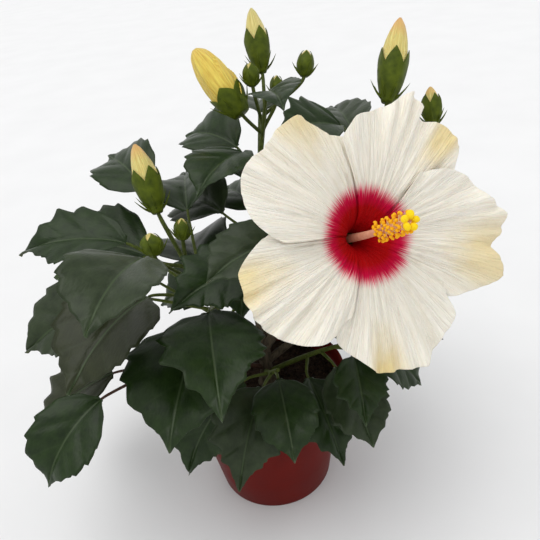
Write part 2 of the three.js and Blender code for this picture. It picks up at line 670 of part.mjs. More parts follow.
const taken = [];
for (const [limbName, limb] of Object.entries(limbs)) {
  for (let i = 4; i <= 40; i++) taken.push({ p: onLimb(limb, i / 40), limbName, stem: true });
  for (const [order, row] of (buds[limbName] ?? []).entries()) {
    const bud = budFrom(limb, row, order);
    for (let i = 0; i <= 6; i++) {
      const middle = add(bud.base, bud.arrival, (bud.length * i) / 6);
      for (const p of [middle, ...ringAround(middle, bud.arrival, 0.8 * bud.radius, 5)]) {
        taken.push({ p, limbName, stem: true });
      }
    }
    for (const p of stalkPoints(bud)) taken.push({ p, limbName });
  }
}
for (const petal of petals) {
  for (let i = 1; i <= 11; i++) {
    for (let j = -5; j <= 5; j++) taken.push({ p: onPetal(petal, i / 11, j / 5), limbName: 'corolla' });
  }
}
for (let i = 0; i < 12; i++) {
  for (const height of [-3, 6, 13]) taken.push({ p: inBloom(12, 30 * i, height), limbName: 'corolla' });
}

const leavesOn = {};
const chance = dice(20611);
for (const [limbName, rule] of Object.entries(ruleLeaves)) {
  const rows = rowsByRule(rule, chance);
  leavesOn[limbName] = rows.map((row, i) => settle(leafFrom(limbName, limbs[limbName], row, i, chance), taken));
}

let forkRoom = trunkRoom;
addPiece('pot', makePot(), materials.potPlastic);
addPiece('potting_soil', makeSoil(), materials.pottingSoil);
addPiece('main_stem', makeMainStem(), materials.bark);
for (const [limbName, limb] of Object.entries(limbs)) {
  if (limb.bough > 0) {
    addPiece(`bough_${limbName}`, makeLimb(limb, 0, limb.bough, 4, 8).subtract(forkRoom), materials.bark);
    forkRoom = forkRoom.add(makeLimb(limb, 0, limb.bough, 4, 8, 1.2 * clearance));
  }
  const parts = [makeLimb(limb, limb.bough, 1, 6, 6)];
  for (const leaf of leavesOn[limbName].filter(Boolean)) parts.push(makeLeaf(leaf));
  for (const [order, row] of (buds[limbName] ?? []).entries()) parts.push(...makeBud(budFrom(limb, row, order)));
  addPiece(`shoot_${limbName}`, fuse(parts).subtract(trunkRoom), materials.foliage);
}
petals.forEach((petal, i) => addPiece(`bloom_petal_${i + 1}`, makePetal(petal), materials.petal));
addPiece('bloom_column', makeColumn(), materials.column);
addPiece('bloom_calyx', makeCalyx(), materials.calyx);

export default shrub;
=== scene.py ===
# A young hibiscus shrub in a round nursery pot, dressed for rendering. Sizes and places are the plant's own
# driving dimensions, in millimetres, and each piece turns them into metres when its mesh is made.
import math

import bmesh
import bpy
import numpy as np
from mathutils import Matrix, Vector, noise


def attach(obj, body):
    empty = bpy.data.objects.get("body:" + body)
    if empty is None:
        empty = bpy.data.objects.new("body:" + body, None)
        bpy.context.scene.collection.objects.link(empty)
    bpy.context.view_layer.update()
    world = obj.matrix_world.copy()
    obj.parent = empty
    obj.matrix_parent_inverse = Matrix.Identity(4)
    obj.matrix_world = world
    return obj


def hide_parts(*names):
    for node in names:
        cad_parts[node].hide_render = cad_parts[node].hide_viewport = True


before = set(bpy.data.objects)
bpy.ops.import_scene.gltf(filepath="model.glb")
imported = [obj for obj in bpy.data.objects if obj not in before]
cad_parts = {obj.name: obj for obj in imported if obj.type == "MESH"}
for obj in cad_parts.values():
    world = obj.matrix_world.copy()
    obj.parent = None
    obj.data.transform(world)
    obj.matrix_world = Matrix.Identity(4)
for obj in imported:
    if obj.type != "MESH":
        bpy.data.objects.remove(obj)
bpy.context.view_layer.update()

# ---- Pot ---------------------------------------------------------------------------------------------
# A round nursery pot, moulded in one piece from brick-red plastic. A wide band stands out under the rim,
# the skirt tapers to a flat floor, and six drain holes go through that floor.

pot = {"height": 105, "foot": 47.5, "rim": 65, "wall": 1.8, "floor": 3, "band": 13, "out": 2.2}
drain = {"count": 6, "radius": 4, "ring": 33, "sides": 24, "cut": 20}
pot_red = (0.092, 0.004, 0.002, 1)
pot_red_worn = (0.130, 0.008, 0.005, 1)
black = (0, 0, 0, 1)
white = (1, 1, 1, 1)
sharp_edge = 40
per_metre = 1000
weld_distance = 2e-6


def quads(rows, columns):
    """Faces between rows of points, each row joined to a ring."""
    r = np.arange(rows - 1)[:, None]
    c = np.arange(columns)[None, :]
    d = (c + 1) % columns
    corners = [r * columns + c, r * columns + d, (r + 1) * columns + d, (r + 1) * columns + c]
    return np.stack(corners, axis=-1).reshape(-1, 4)


def add_object(name, data):
    made = bpy.data.objects.new(name, data)
    bpy.context.scene.collection.objects.link(made)
    return made


def make_piece(name, points, faces, materials, uv=None, tint=None, face_materials=None):
    """A smooth mesh with its faces outwards, welded where its points meet."""
    points = np.asarray(points, float).reshape(-1, 3)
    a, b, c, d = (points[faces[:, k]] for k in range(4))
    volume = np.einsum("ij,ij->", a, np.cross(b, c)) + np.einsum("ij,ij->", a, np.cross(c, d))
    if volume < 0:
        faces = faces[:, ::-1]
    mesh = bpy.data.meshes.new(name)
    mesh.from_pydata((points / per_metre).tolist(), [], faces.tolist())
    for material in materials:
        mesh.materials.append(material)
    if face_materials is not None:
        mesh.polygons.foreach_set("material_index", np.asarray(face_materials, np.int32))
    loops = np.zeros(len(mesh.loops), np.int32)
    mesh.loops.foreach_get("vertex_index", loops)
    if uv is not None:
        flat = np.asarray(uv, np.float32).reshape(-1, 2)
        mesh.uv_layers.new(name="surface").data.foreach_set("uv", flat[loops].ravel())
    if tint is not None:
        tints = mesh.attributes.new("tint", "FLOAT", "POINT")
        tints.data.foreach_set("value", np.asarray(tint, np.float32).ravel())
    work = bmesh.new()
    work.from_mesh(mesh)
    bmesh.ops.remove_doubles(work, verts=work.verts, dist=weld_distance)
    work.to_mesh(mesh)
    work.free()
    mesh.polygons.foreach_set("use_smooth", np.ones(len(mesh.polygons), bool))
    return add_object(name, mesh)


def plain_mesh(piece):
    """The mesh that a piece's modifiers give it."""
    return bpy.data.meshes.new_from_object(piece.evaluated_get(bpy.context.evaluated_depsgraph_get()))


def belongs(piece, slot, *nodes):
    """The piece is on the plant's one body and stands for these CAD nodes."""
    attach(piece, "root")
    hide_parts(*nodes)


def new_material(name, **sockets):
    made = bpy.data.materials.new(name)
    made.use_nodes = True
    shader = made.node_tree.nodes["Principled BSDF"]
    for socket, value in sockets.items():
        shader.inputs[socket.replace("_", " ")].default_value = value
    return made, made.node_tree, shader


def add_node(tree, kind, inputs=(), **settings):
    """A node with its settings and its inputs, each a value or another node's output."""
    node = tree.nodes.new(kind)
    for name, value in settings.items():
        setattr(node, name, value)
    for key, value in dict(inputs).items():
        if isinstance(value, bpy.types.NodeSocket):
            tree.links.new(value, node.inputs[key])
        else:
            node.inputs[key].default_value = value
    return node


def do_math(tree, operation, *values):
    return add_node(tree, "ShaderNodeMath", dict(enumerate(values)), operation=operation).outputs[0]


def mix_colours(tree, share, low, high):
    """The colour between low and high at share; the sockets 6 and 7 are a Mix node's two colours."""
    return add_node(tree, "ShaderNodeMix", {0: share, 6: low, 7: high}, data_type="RGBA").outputs[2]


def ramp(tree, value, start, end, low=0.0, high=1.0, smooth=False):
    """Low where the value is at start, high where it is at end, and in step between them."""
    inputs = {"Value": value, "From Min": start, "From Max": end, "To Min": low, "To Max": high}
    kind = "SMOOTHSTEP" if smooth else "LINEAR"
    return add_node(tree, "ShaderNodeMapRange", inputs, interpolation_type=kind).outputs[0]


def bump(tree, shader, height, strength, distance):
    made = add_node(tree, "ShaderNodeBump", {"Height": height, "Strength": strength, "Distance": distance})
    tree.links.new(made.outputs["Normal"], shader.inputs["Normal"])


def make_surface_grain():
    """Shared by every finish here: cloudy grain that mixes two colours and gives a height."""
    group = bpy.data.node_groups.new("surface_grain", "ShaderNodeTree")
    takes = {"Vector": "Vector", "Scale": "Float", "Detail": "Float", "Spread": "Float", "Dark": "Color",
             "Light": "Color"}
    for name, kind in takes.items():
        group.interface.new_socket(name, in_out="INPUT", socket_type="NodeSocket" + kind)
    for name, kind in {"Color": "Color", "Height": "Float"}.items():
        group.interface.new_socket(name, in_out="OUTPUT", socket_type="NodeSocket" + kind)
    enter = add_node(group, "NodeGroupInput").outputs
    grey = add_node(group, "ShaderNodeTexNoise", {key: enter[key] for key in ("Vector", "Scale", "Detail")})
    low = do_math(group, "SUBTRACT", 0.5, enter["Spread"])
    high = do_math(group, "ADD", 0.5, enter["Spread"])
    share = ramp(group, grey.outputs["Fac"], low, high)
    mixed = mix_colours(group, share, enter["Dark"], enter["Light"])
    add_node(group, "NodeGroupOutput", {"Color": mixed, "Height": share})
    return group


surface_grain = make_surface_grain()


def add_grain(tree, vector, scale, dark, light, detail=3.0, spread=0.2):
    inputs = {"Vector": vector, "Scale": scale, "Detail": detail, "Spread": spread, "Dark": dark,
              "Light": light}
    return add_node(tree, "ShaderNodeGroup", inputs, node_tree=surface_grain).outputs


def place_on_object(tree):
    return add_node(tree, "ShaderNodeTexCoord").outputs["Object"]


def place_on_surface(tree):
    return add_node(tree, "ShaderNodeUVMap", uv_map="surface").outputs[0]


def stretch(tree, place, *scale):
    return add_node(tree, "ShaderNodeMapping", {"Vector": place, "Scale": scale}).outputs[0]


def cloud(tree, place, scale, detail):
    inputs = {"Vector": place, "Scale": scale, "Detail": detail}
    return add_node(tree, "ShaderNodeTexNoise", inputs).outputs["Fac"]


def axes_of(tree, place):
    return add_node(tree, "ShaderNodeSeparateXYZ", {0: place}).outputs


def pot_body_radius(z):
    return pot["foot"] + (pot["rim"] - pot["out"] - pot["foot"]) * z / pot["height"]


def revolve(profile, segments):
    """Points and faces of a round body from its profile of radius and height."""
    turn = 2 * np.pi * np.arange(segments) / segments
    profile = np.asarray(profile, float)
    x = profile[:, :1] * np.cos(turn)
    y = profile[:, :1] * np.sin(turn)
    z = np.repeat(profile[:, 1:], segments, axis=1)
    return np.stack([x, y, z], axis=-1).reshape(-1, 3), quads(len(profile), segments)


band_foot = pot["height"] - pot["band"]
band_radius = pot_body_radius(band_foot)
inner_rim = pot["rim"] - pot["wall"] - 0.6
band_out = band_radius + pot["out"]
# Out under the floor past its shallow groove, up the skirt, round the band and lip, then down the inside.
pot_profile = [
    (0, 0), (38, 0), (38.6, 0.5), (42.5, 0.5), (43, 0),
    (pot["foot"] - 1.6, 0), (pot["foot"] - 0.5, 0.4), (pot["foot"], 1.6),
    (pot_body_radius(30), 30), (pot_body_radius(60), 60),
    (band_radius - 0.05, band_foot - 0.6), (band_radius, band_foot), (band_radius + 0.5, band_foot + 0.15),
    (band_out - 0.4, band_foot + 0.6), (band_out, band_foot + 1.3),
    (pot["rim"] - 0.3, pot["height"] - 3), (pot["rim"], pot["height"] - 2.2),
    (pot["rim"] - 0.05, pot["height"] - 0.7), (pot["rim"] - 0.5, pot["height"] - 0.15),
    (pot["rim"] - 1.1, pot["height"]), (inner_rim + 0.4, pot["height"]), (inner_rim, pot["height"] - 0.4),
    (band_out - pot["wall"], band_foot + 3), (band_radius - pot["wall"], band_foot + 1),
    (pot_body_radius(50) - pot["wall"], 50),
    (pot["foot"] - pot["wall"] + 0.2, pot["floor"]), (0, pot["floor"]),
]
pot_sides = 144
plastic, tree, shader = new_material("brick_red_plastic", Roughness=0.42, Specular_IOR_Level=0.06)
grain = add_grain(tree, place_on_object(tree), scale=60.0, dark=pot_red, light=pot_red_worn, detail=5.0,
                  spread=0.3)
tree.links.new(grain["Color"], shader.inputs["Base Color"])
scuffs = add_grain(tree, place_on_object(tree), scale=900.0, dark=black, light=white, detail=2.0)
tree.links.new(ramp(tree, grain["Height"], 0.0, 1.0, low=0.36, high=0.52), shader.inputs["Roughness"])
bump(tree, shader, scuffs["Height"], strength=0.12, distance=0.0002)

points, faces = revolve(pot_profile, pot_sides)
pot_shell = make_piece("pot_shell", points, faces, [plastic])
turn = 2 * np.pi * np.arange(drain["count"]) / drain["count"]
cutter = bmesh.new()
for a in turn:
    middle = (drain["ring"] * math.cos(a) / per_metre, drain["ring"] * math.sin(a) / per_metre, 0)
    bmesh.ops.create_cone(cutter, cap_ends=True, segments=drain["sides"], radius1=drain["radius"] / per_metre,
                          radius2=drain["radius"] / per_metre, depth=drain["cut"] / per_metre,
                          matrix=Matrix.Translation(middle))
cutter_mesh = bpy.data.meshes.new("drain_cutter")
cutter.to_mesh(cutter_mesh)
cutter.free()
drain_cutter = add_object("drain_cutter", cutter_mesh)
holes = pot_shell.modifiers.new("drain_holes", "BOOLEAN")
holes.object = drain_cutter
holes.operation = "DIFFERENCE"
drilled = plain_mesh(pot_shell)
pot_shell.modifiers.remove(holes)
pot_shell.data = drilled
bpy.data.objects.remove(drain_cutter)
drilled.set_sharp_from_angle(angle=math.radians(sharp_edge))
belongs(pot_shell, "pot_plastic", "pot")

# ---- Potting mix -------------------------------------------------------------------------------------
# Dark peaty potting mix fills the pot to a little under its band. Its top is a low uneven mound strewn
# with loose crumbs, which Geometry Nodes scatters with a fixed seed.

soil = {"top": 91, "mound": 2.5, "across": 58, "roughness": 1.6, "clear": 0.35, "shoulder": 84, "foot": 3.4,
        "rings": 45, "sides": 150}
# Each lump's share of the roughness, and its size.
soil_lumps = ((0.9, 13), (0.6, 5.5), (0.3, 2.2))
crumbs = {"per_square_metre": 210000.0, "least": 0.5, "greatest": 1.7, "above": 88.5, "seed": 7,
          "squash": (1.0, 0.7, 0.55)}
full_turn = 6.28
peat_dark = (0.010, 0.006, 0.004, 1)
peat_light = (0.045, 0.026, 0.016, 1)

peat, tree, shader = new_material("peat", Roughness=0.95, Specular_IOR_Level=0.2)
grain = add_grain(tree, place_on_object(tree), scale=260.0, dark=peat_dark, light=peat_light, detail=6.0)
tree.links.new(grain["Color"], shader.inputs["Base Color"])
bump(tree, shader, grain["Height"], strength=0.8, distance=0.0015)


def soil_height(x, y):
    """The mound's height at a place: a low dome with lumps of three sizes."""
    dome = soil["mound"] * (1 - (x * x + y * y) / soil["across"] ** 2)
    lumps = sum(share * noise.noise(Vector((x, y, 3.0)) / across) for share, across in soil_lumps)
    return soil["top"] + dome + soil["roughness"] * lumps


soil_radius = pot_body_radius(soil["top"]) - pot["wall"] - soil["clear"]
profile = [(soil_radius * k / (soil["rings"] - 1), soil["top"]) for k in range(soil["rings"])]
profile += [(soil_radius - 0.4, soil["shoulder"]), (pot_body_radius(4) - pot["wall"] - 0.6, soil["foot"])]
profile.append((0, soil["foot"]))
points, faces = revolve(profile, soil["sides"])
for point in points[: soil["rings"] * soil["sides"]]:
    point[2] = soil_height(point[0], point[1])
potting_mix = make_piece("potting_mix", points, faces, [peat])


def geometry_tree(name, sizes):
    """A Geometry Nodes tree that takes a mesh and named sizes, and gives a mesh."""
    made = bpy.data.node_groups.new(name, "GeometryNodeTree")
    made.interface.new_socket("Geometry", in_out="INPUT", socket_type="NodeSocketGeometry")
    for size, kind in sizes.items():
        made.interface.new_socket(size, in_out="INPUT", socket_type="NodeSocket" + kind)
    made.interface.new_socket("Geometry", in_out="OUTPUT", socket_type="NodeSocketGeometry")
    return made, add_node(made, "NodeGroupInput").outputs


def grow(piece, name, made, sizes):
    """The plain mesh that the tree makes on a piece, as a new object."""
    modifier = piece.modifiers.new("grow", "NODES")
    modifier.node_group = made
    for socket in made.interface.items_tree:
        if socket.in_out == "INPUT" and socket.name in sizes:
            modifier[socket.identifier] = sizes[socket.name]
    piece.update_tag()
    mesh = plain_mesh(piece)
    piece.modifiers.remove(modifier)
    mesh.name = name
    return add_object(name, mesh)


def random_turn(tree, seed):
    """A turn about each axis of its own for every instance."""
    inputs = {0: (0, 0, 0), 1: (full_turn, full_turn, full_turn), "Seed": seed}
    return add_node(tree, "FunctionNodeRandomValue", inputs, data_type="FLOAT_VECTOR").outputs[0]


def random_size(tree, least, greatest, seed):
    inputs = {2: least, 3: greatest, "Seed": seed}
    return add_node(tree, "FunctionNodeRandomValue", inputs, data_type="FLOAT").outputs[1]


def end_tree(tree, geometry, material):
    """Every tree ends in real meshes with their material set."""
    real = add_node(tree, "GeometryNodeRealizeInstances", {"Geometry": geometry})
    painted = add_node(tree, "GeometryNodeSetMaterial", {"Geometry": real.outputs[0], "Material": material})
    add_node(tree, "NodeGroupOutput", {0: painted.outputs[0]})


crumb_tree, given = geometry_tree("strewn_crumbs", {
    "Density": "Float", "Least": "Float", "Greatest": "Float", "From Height": "Float", "Seed": "Int",
    "Material": "Material"})
spot = add_node(crumb_tree, "GeometryNodeInputPosition").outputs[0]
heights = {0: axes_of(crumb_tree, spot)["Z"], 1: given["From Height"]}
on_top = add_node(crumb_tree, "FunctionNodeCompare", heights, data_type="FLOAT", operation="GREATER_THAN")
strewn = add_node(crumb_tree, "GeometryNodeDistributePointsOnFaces", {
    "Mesh": given["Geometry"], "Selection": on_top.outputs[0], "Density": given["Density"],
    "Seed": given["Seed"]})
ball = add_node(crumb_tree, "GeometryNodeMeshIcoSphere", {"Radius": 1.0, "Subdivisions": 1})
flat_crumb = add_node(crumb_tree, "GeometryNodeTransform", {
    "Geometry": ball.outputs[0], "Scale": crumbs["squash"]})
laid = add_node(crumb_tree, "GeometryNodeInstanceOnPoints", {
    "Points": strewn.outputs[0], "Instance": flat_crumb.outputs[0],
    "Rotation": random_turn(crumb_tree, given["Seed"]),
    "Scale": random_size(crumb_tree, given["Least"], given["Greatest"], given["Seed"])})
end_tree(crumb_tree, laid.outputs[0], given["Material"])
soil_crumbs = grow(potting_mix, "soil_crumbs", crumb_tree, {
    "Density": crumbs["per_square_metre"], "Least": crumbs["least"] / per_metre,
    "Greatest": crumbs["greatest"] / per_metre, "From Height": crumbs["above"] / per_metre,
    "Seed": crumbs["seed"], "Material": peat})
for piece in (potting_mix, soil_crumbs):
    belongs(piece, "potting_soil", "potting_soil")

# ---- Woody stem and boughs ---------------------------------------------------------------------------
# The short main stem stands in the mix on a flared foot, and six boughs fork from it. They are young
# wood under grey-brown bark, with lengthwise cracks, swept along their paths by Geometry Nodes.

main_stem = {"foot": (2, 2, 93.8), "top": (3, 6, 132), "radius": (5.4, 4.6), "flare": 2.6, "flare_reach": 0.1,
             "sunk": 3}
# How far past the fork each ring of the stem's rounded end stands, and its share of the radius.
stem_end = ((0.7, 0.94), (1.3, 0.75), (1.7, 0.4))
stem_steps = 60
bough_steps = 40
bark_dark = (0.035, 0.026, 0.016, 1)
bark_light = (0.120, 0.095, 0.062, 1)


def named_rows(names, rows):
    """The same named values for each of several pieces."""
    return {piece: dict(zip(names, row)) for piece, row in rows.items()}


limbs = named_rows(("from", "via", "to", "bough", "radius"), {
    "left": ((1, 3, 118), (-22, -6, 150), (-42, -18, 226), 0.3, (3.6, 1.8)),
    "rear_left": ((3, 6, 132), (-2, 34, 190), (26, 72, 296), 0.36, (4.4, 1.8)),
    "rear_right": ((4, 5, 127), (50, 22, 170), (98, 8, 290), 0.34, (3.8, 1.8)),
    "bloom": ((3, 4, 123), (46, -9, 222), (61.3, -46.2, 243.2), 0.3, (3.4, 1.7)),
    "right": ((3, 4, 112), (50, 2, 150), (112, 12, 190), 0.3, (3.2, 1.6)),
    "back": ((2, 5, 121), (14, 50, 160), (46, 98, 205), 0.3, (3.4, 1.7)),
    "low_front": ((2, 2, 104), (4, -30, 128), (12, -52, 150), 0, (2.2, 1.5)),
    "low_left": ((2, 2, 108), (-30, -8, 128), (-54, -22, 150), 0, (2.2, 1.5)),
    "low_right": ((2, 2, 102), (38, -12, 130), (66, -30, 148), 0, (2.2, 1.5)),
    "low_back": ((2, 3, 108), (10, 38, 130), (16, 72, 152), 0, (2.2, 1.5)),
})


def bent(t, start, via, end):
    """A bent path from start to end that leaves and arrives in line with via."""
    return (1 - t) ** 2 * start + 2 * t * (1 - t) * via + t * t * end


def on_limb(limb, t):
    knots = (np.array(limb[k], float) for k in ("from", "via", "to"))
    return bent(np.asarray(t, float)[..., None], *knots)


def limb_girth(limb, t):
    return limb["radius"][0] + (limb["radius"][1] - limb["radius"][0]) * np.asarray(t)


def swept_stems(name, paths, sides, relief, material):
    """One mesh of round stems, each along a list of points with a radius at each, swept by Geometry Nodes."""
    points = np.concatenate([np.asarray(p, float) for p, _ in paths])
    edges, start = [], 0
    for path, _ in paths:
        edges += [(start + i, start + i + 1) for i in range(len(path) - 1)]
        start += len(path)
    mesh = bpy.data.meshes.new(name + "_paths")
    mesh.from_pydata((points / per_metre).tolist(), edges, [])
    girth = np.concatenate([np.broadcast_to(r, len(p)) for p, r in paths]) / per_metre
    mesh.attributes.new("girth", "FLOAT", "POINT").data.foreach_set("value", girth.astype(np.float32))
    lines = add_object(name + "_paths", mesh)
    swept = grow(lines, name, stem_tree, {"Sides": sides, "Relief": relief / per_metre, "Material": material})
    bpy.data.objects.remove(lines)
    return swept


def roughened(tree, geometry, spots, scale, detail, relief):
    """The geometry made smooth, its points moved in and out along their normals by a noise."""
    noise_here = cloud(tree, spots, scale, detail)
    height = do_math(tree, "MULTIPLY", do_math(tree, "SUBTRACT", noise_here, 0.5), relief)
    normal = add_node(tree, "GeometryNodeInputNormal").outputs[0]
    out = add_node(tree, "ShaderNodeVectorMath", {0: normal, 3: height}, operation="SCALE")
    moved = add_node(tree, "GeometryNodeSetPosition", {"Geometry": geometry, "Offset": out.outputs[0]})
    return add_node(tree, "GeometryNodeSetShadeSmooth", {0: moved.outputs[0]}).outputs[0]


stem_tree, given = geometry_tree("swept_stem", {"Sides": "Int", "Relief": "Float", "Material": "Material"})
path = add_node(stem_tree, "GeometryNodeMeshToCurve", {"Mesh": given["Geometry"]})
girth = add_node(stem_tree, "GeometryNodeInputNamedAttribute", {"Name": "girth"}, data_type="FLOAT")
thick_path = add_node(stem_tree, "GeometryNodeSetCurveRadius", {
    "Curve": path.outputs[0], "Radius": girth.outputs[0]})
section = add_node(stem_tree, "GeometryNodeCurvePrimitiveCircle", {
    "Resolution": given["Sides"], "Radius": 1.0})
skin = add_node(stem_tree, "GeometryNodeCurveToMesh", {
    "Curve": thick_path.outputs[0], "Profile Curve": section.outputs[0], "Scale": girth.outputs[0],
    "Fill Caps": True})
spot = add_node(stem_tree, "GeometryNodeInputPosition").outputs[0]
stretched = add_node(stem_tree, "ShaderNodeVectorMath", {0: spot, 1: (1.0, 1.0, 0.3)}, operation="MULTIPLY")
ridged = roughened(stem_tree, skin.outputs[0], stretched.outputs[0], scale=650.0, detail=3.0,
                   relief=given["Relief"])
end_tree(stem_tree, ridged, given["Material"])

bark, tree, shader = new_material("grey_brown_bark", Roughness=0.85, Specular_IOR_Level=0.3)
along_grain = stretch(tree, place_on_object(tree), 1.0, 1.0, 0.25)
grain = add_grain(tree, along_grain, scale=480.0, dark=bark_dark, light=bark_light, detail=5.0)
tree.links.new(grain["Color"], shader.inputs["Base Color"])
bump(tree, shader, grain["Height"], strength=0.6, distance=0.0006)

share = np.linspace(0, 1, stem_steps)
stem_points = np.array(main_stem["foot"]) * (1 - share[:, None]) + np.array(main_stem["top"]) * share[:, None]
stem_radii = main_stem["radius"][0] * (1 - share) + main_stem["radius"][1] * share
stem_radii = stem_radii + main_stem["flare"] * np.exp(-share / main_stem["flare_reach"])
stem_points[0, 2] -= main_stem["sunk"]
stem_points = np.vstack([stem_points, [stem_points[-1] + (0, 0, past) for past, _ in stem_end]])
stem_radii = np.append(stem_radii, [main_stem["radius"][1] * narrowed for _, narrowed in stem_end])
wood = [(stem_points, stem_radii)]
woody_limbs = [name for name, limb in limbs.items() if limb["bough"] > 0]
for name in woody_limbs:
    t = np.linspace(0, limbs[name]["bough"], bough_steps)
    wood.append((on_limb(limbs[name], t), limb_girth(limbs[name], t)))
woody_stems = swept_stems("woody_stems", wood, sides=24, relief=0.9, material=bark)
belongs(woody_stems, "bark", "main_stem", *("bough_" + name for name in woody_limbs))

# ---- Leafy shoots ------------------------------------------------------------------------------------
# Each bough ends in a green shoot, and four low shoots leave the stem. Leaves stand on thin curved stalks:
# toothed blades with a sunken midrib and quilted side veins, dark with a faint sheen above, paler below.

seed = 20611
leaf_shape = {"sweep": 0.1, "fold": 13, "ripple": 0.03, "ripples": 9, "ripple_shift": 1.3, "thickness": 0.45,
              "thin_edge": 0.35, "stalk": 1.1, "stations": 62, "columns": 19}
leaf_teeth = {"count": 6.5, "size": 0.07, "from": 0.22, "grow": 0.25, "ease": 0.012}
leaf_veins = {"quilt": 1.1, "step": 0.27, "lean": 1.0, "groove": 0.6, "groove_width": 1.3, "ridge": 0.8,
              "ridge_width": 1.0}
stalk_shape = {"root_step": 0.008, "bend": 0.35, "greatest_bend": 8, "point_step": 6}
apart = {"leaf": 6.4, "own_leaf": 5, "stem": 5.5, "look": 7, "pot": 4, "floor": 8}

# Each shoot has so many leaves from the first to the last place on its limb, fanned over an arc of bearings
# about a middle one, with this longest blade, rise and stalk.
rule_leaves = named_rows(("count", "first", "last", "middle", "arc", "blade", "rise", "stalk"), {
    "left": (12, 0.5, 1, 190, 220, 88, 4, 54),
    "low_left": (3, 0.6, 1, 195, 70, 84, -20, 70),
    "low_front": (3, 0.5, 0.9, 255, 110, 76, -14, 18),
    "low_right": (4, 0.5, 1, 310, 110, 62, -24, 26),
    "bloom": (3, 0.5, 0.7, 215, 100, 72, 6, 44),
    "rear_left": (11, 0.5, 0.98, 190, 250, 68, 6, 30),
    "rear_right": (8, 0.5, 0.95, 160, 260, 66, 4, 30),
    "right": (6, 0.45, 1, 0, 300, 66, 10, 28),
    "back": (9, 0.5, 1, 90, 200, 70, 2, 44),
    "low_back": (5, 0.5, 1, 100, 200, 74, -18, 36),
})
leaf_turn = 137.5
leaf_lean = 25
# What chance adds to a leaf: one number is a whole spread about the middle, and a pair is the least value and
# how much more it may be. The trend is what changes from a shoot's first leaf to its last.
leaf_spread = {"bearing": 20, "rise": 16, "roll": 20, "stalk": (0.75, 0.5), "droop": (35, 25),
               "width": (0.34, 0.06)}
leaf_trend = {"rise": 20, "first_blade": 1.1, "shorter": 0.3}
stalk_above = 14
lobed_share = 0.35
# A leaf without room tries these tilts, and these turns aside at each.
tilts = (0, -8, 8, -16, 16, -26, 26)
turns_aside = (0, 8, -8, 16, -16, 26, -26, 38, -38, 50, -50)
# Where along the blade, and the share of its half width there.
forms = {
    "ovate": [(0.02, 0.12), (0.08, 0.52), (0.2, 0.87), (0.36, 1), (0.52, 0.93), (0.66, 0.74), (0.68, 0.6),
              (0.78, 0.42), (0.8, 0.3), (0.9, 0.12), (1, 0)],
    "lobed": [(0.02, 0.14), (0.08, 0.5), (0.2, 0.78), (0.34, 1), (0.38, 0.84), (0.52, 0.92), (0.56, 0.58),
              (0.68, 0.5), (0.71, 0.32), (0.86, 0.13), (1, 0)],
}

# A bud's place on its limb, its stalk's bearing, rise and length, its own bearing, rise, length and radius,
# where its sepals end, how yellow it is and how far its tip blushes.
buds = {
    "rear_left": [
        (1.00, 86, 52, 30, 96, 60, 47, 9, 0.66, 0.2, 0.0),
        (0.93, 218, 46, 27, 137, 48, 55, 13, 0.34, 1.0, 0.1),
        (1.00, 6, 32, 37, 67, 56, 19, 6, 0.96, 0.3, 0.0),
        (0.955, 8, 56, 22, 79, 60, 15, 4.5, 0.96, 0.3, 0.0),
        (0.98, 240, 64, 28, 92, 62, 16, 5.5, 0.96, 0.3, 0.0),
    ],
    "rear_right": [
        (1.00, 12, 75, 21, 62, 54, 54, 9.3, 0.6, 0.35, 0.8),
        (0.90, 14, 20, 54, 85, 60, 26, 6.5, 0.8, 0.3, 0.6),
    ],
    "left": [
        (1.00, 134, 61, 38, 112, 56, 47, 9.3, 0.62, 0.3, 0.8),
        (0.97, 220, 40, 29, 102, 60, 15, 7.3, 0.96, 0.3, 0.0),
        (0.98, 300, 80, 21, 84, 62, 14, 5, 0.96, 0.3, 0.0),
    ],
}
# Where along the bud, and the share of its radius there.
bud_profile = [
    (-0.04, 0.25), (0.04, 0.46), (0.12, 0.64), (0.22, 0.82), (0.34, 0.94), (0.46, 0.97), (0.58, 0.9),
    (0.7, 0.76), (0.82, 0.56), (0.92, 0.34), (1, 0.06),
]
bud_shape = {"sepals": 5, "petals": 5, "fold": 0.09, "twist": 0.9, "skin": 0.96, "plump": 0.4, "ragged": 1.3,
             "stalk": (1.4, 1.3), "rows": 44, "columns": 60}
bract_shape = {"count": 7, "length": 5, "radius": 0.7, "in": 0.35, "spread": 1.7, "curl": 2}
sepal_shape = {"rows": 22, "foot": 0.04, "notch": 0.66, "point": 0.34, "taper": 0.8, "outside": 0.75,
               "inside": 0.25, "rib": 0.25, "flare": 0.5}

# The bloom's surfaces are here because leaves keep clear of them.
bloom = {"bearing": -67, "rise": 28, "base": (64.1, -52.7, 246.9), "throat": 3.6, "reach": 80, "depth": 29,
         "opening": 0.17, "reflex": 5, "claw_half": 32.5, "claw_length": 40, "overlap": 2.4, "ruffle": 2.2,
         "ruffles": 13, "petal_turn": 60}
# Each petal: the turn of its foot and of its middle, half its spread, its rim's distances from the axis, and
# its yellow margin: where across it that is, as a share of petal_turn, how wide, and how strong.
petals = [
    {"claw": 120, "angle": 125, "half": 43, "rim": (55, 61, 78, 79, 77, 82, 78, 70, 52),
     "yellow": (-0.35, 0.32, 0.8)},
    {"claw": 48, "angle": 51, "half": 39, "rim": (66, 88, 90, 82, 92, 78, 71, 67, 55),
     "yellow": (-0.36, 0.18, 0.9)},
    {"claw": -24, "angle": -11, "half": 41, "rim": (64, 82, 101, 93, 104, 88, 80, 66, 50),
     "yellow": (-0.24, 0.34, 0.75)},
    {"claw": -96, "angle": -91, "half": 44, "rim": (50, 64, 71, 80, 81, 85, 78, 71, 55),
     "yellow": (-0.14, 0.2, 0.95)},
    {"claw": 192, "angle": 197, "half": 39, "rim": (55, 68, 79, 82, 82, 79, 74, 66, 48),
     "yellow": (-0.24, 0.24, 0.85)},
]


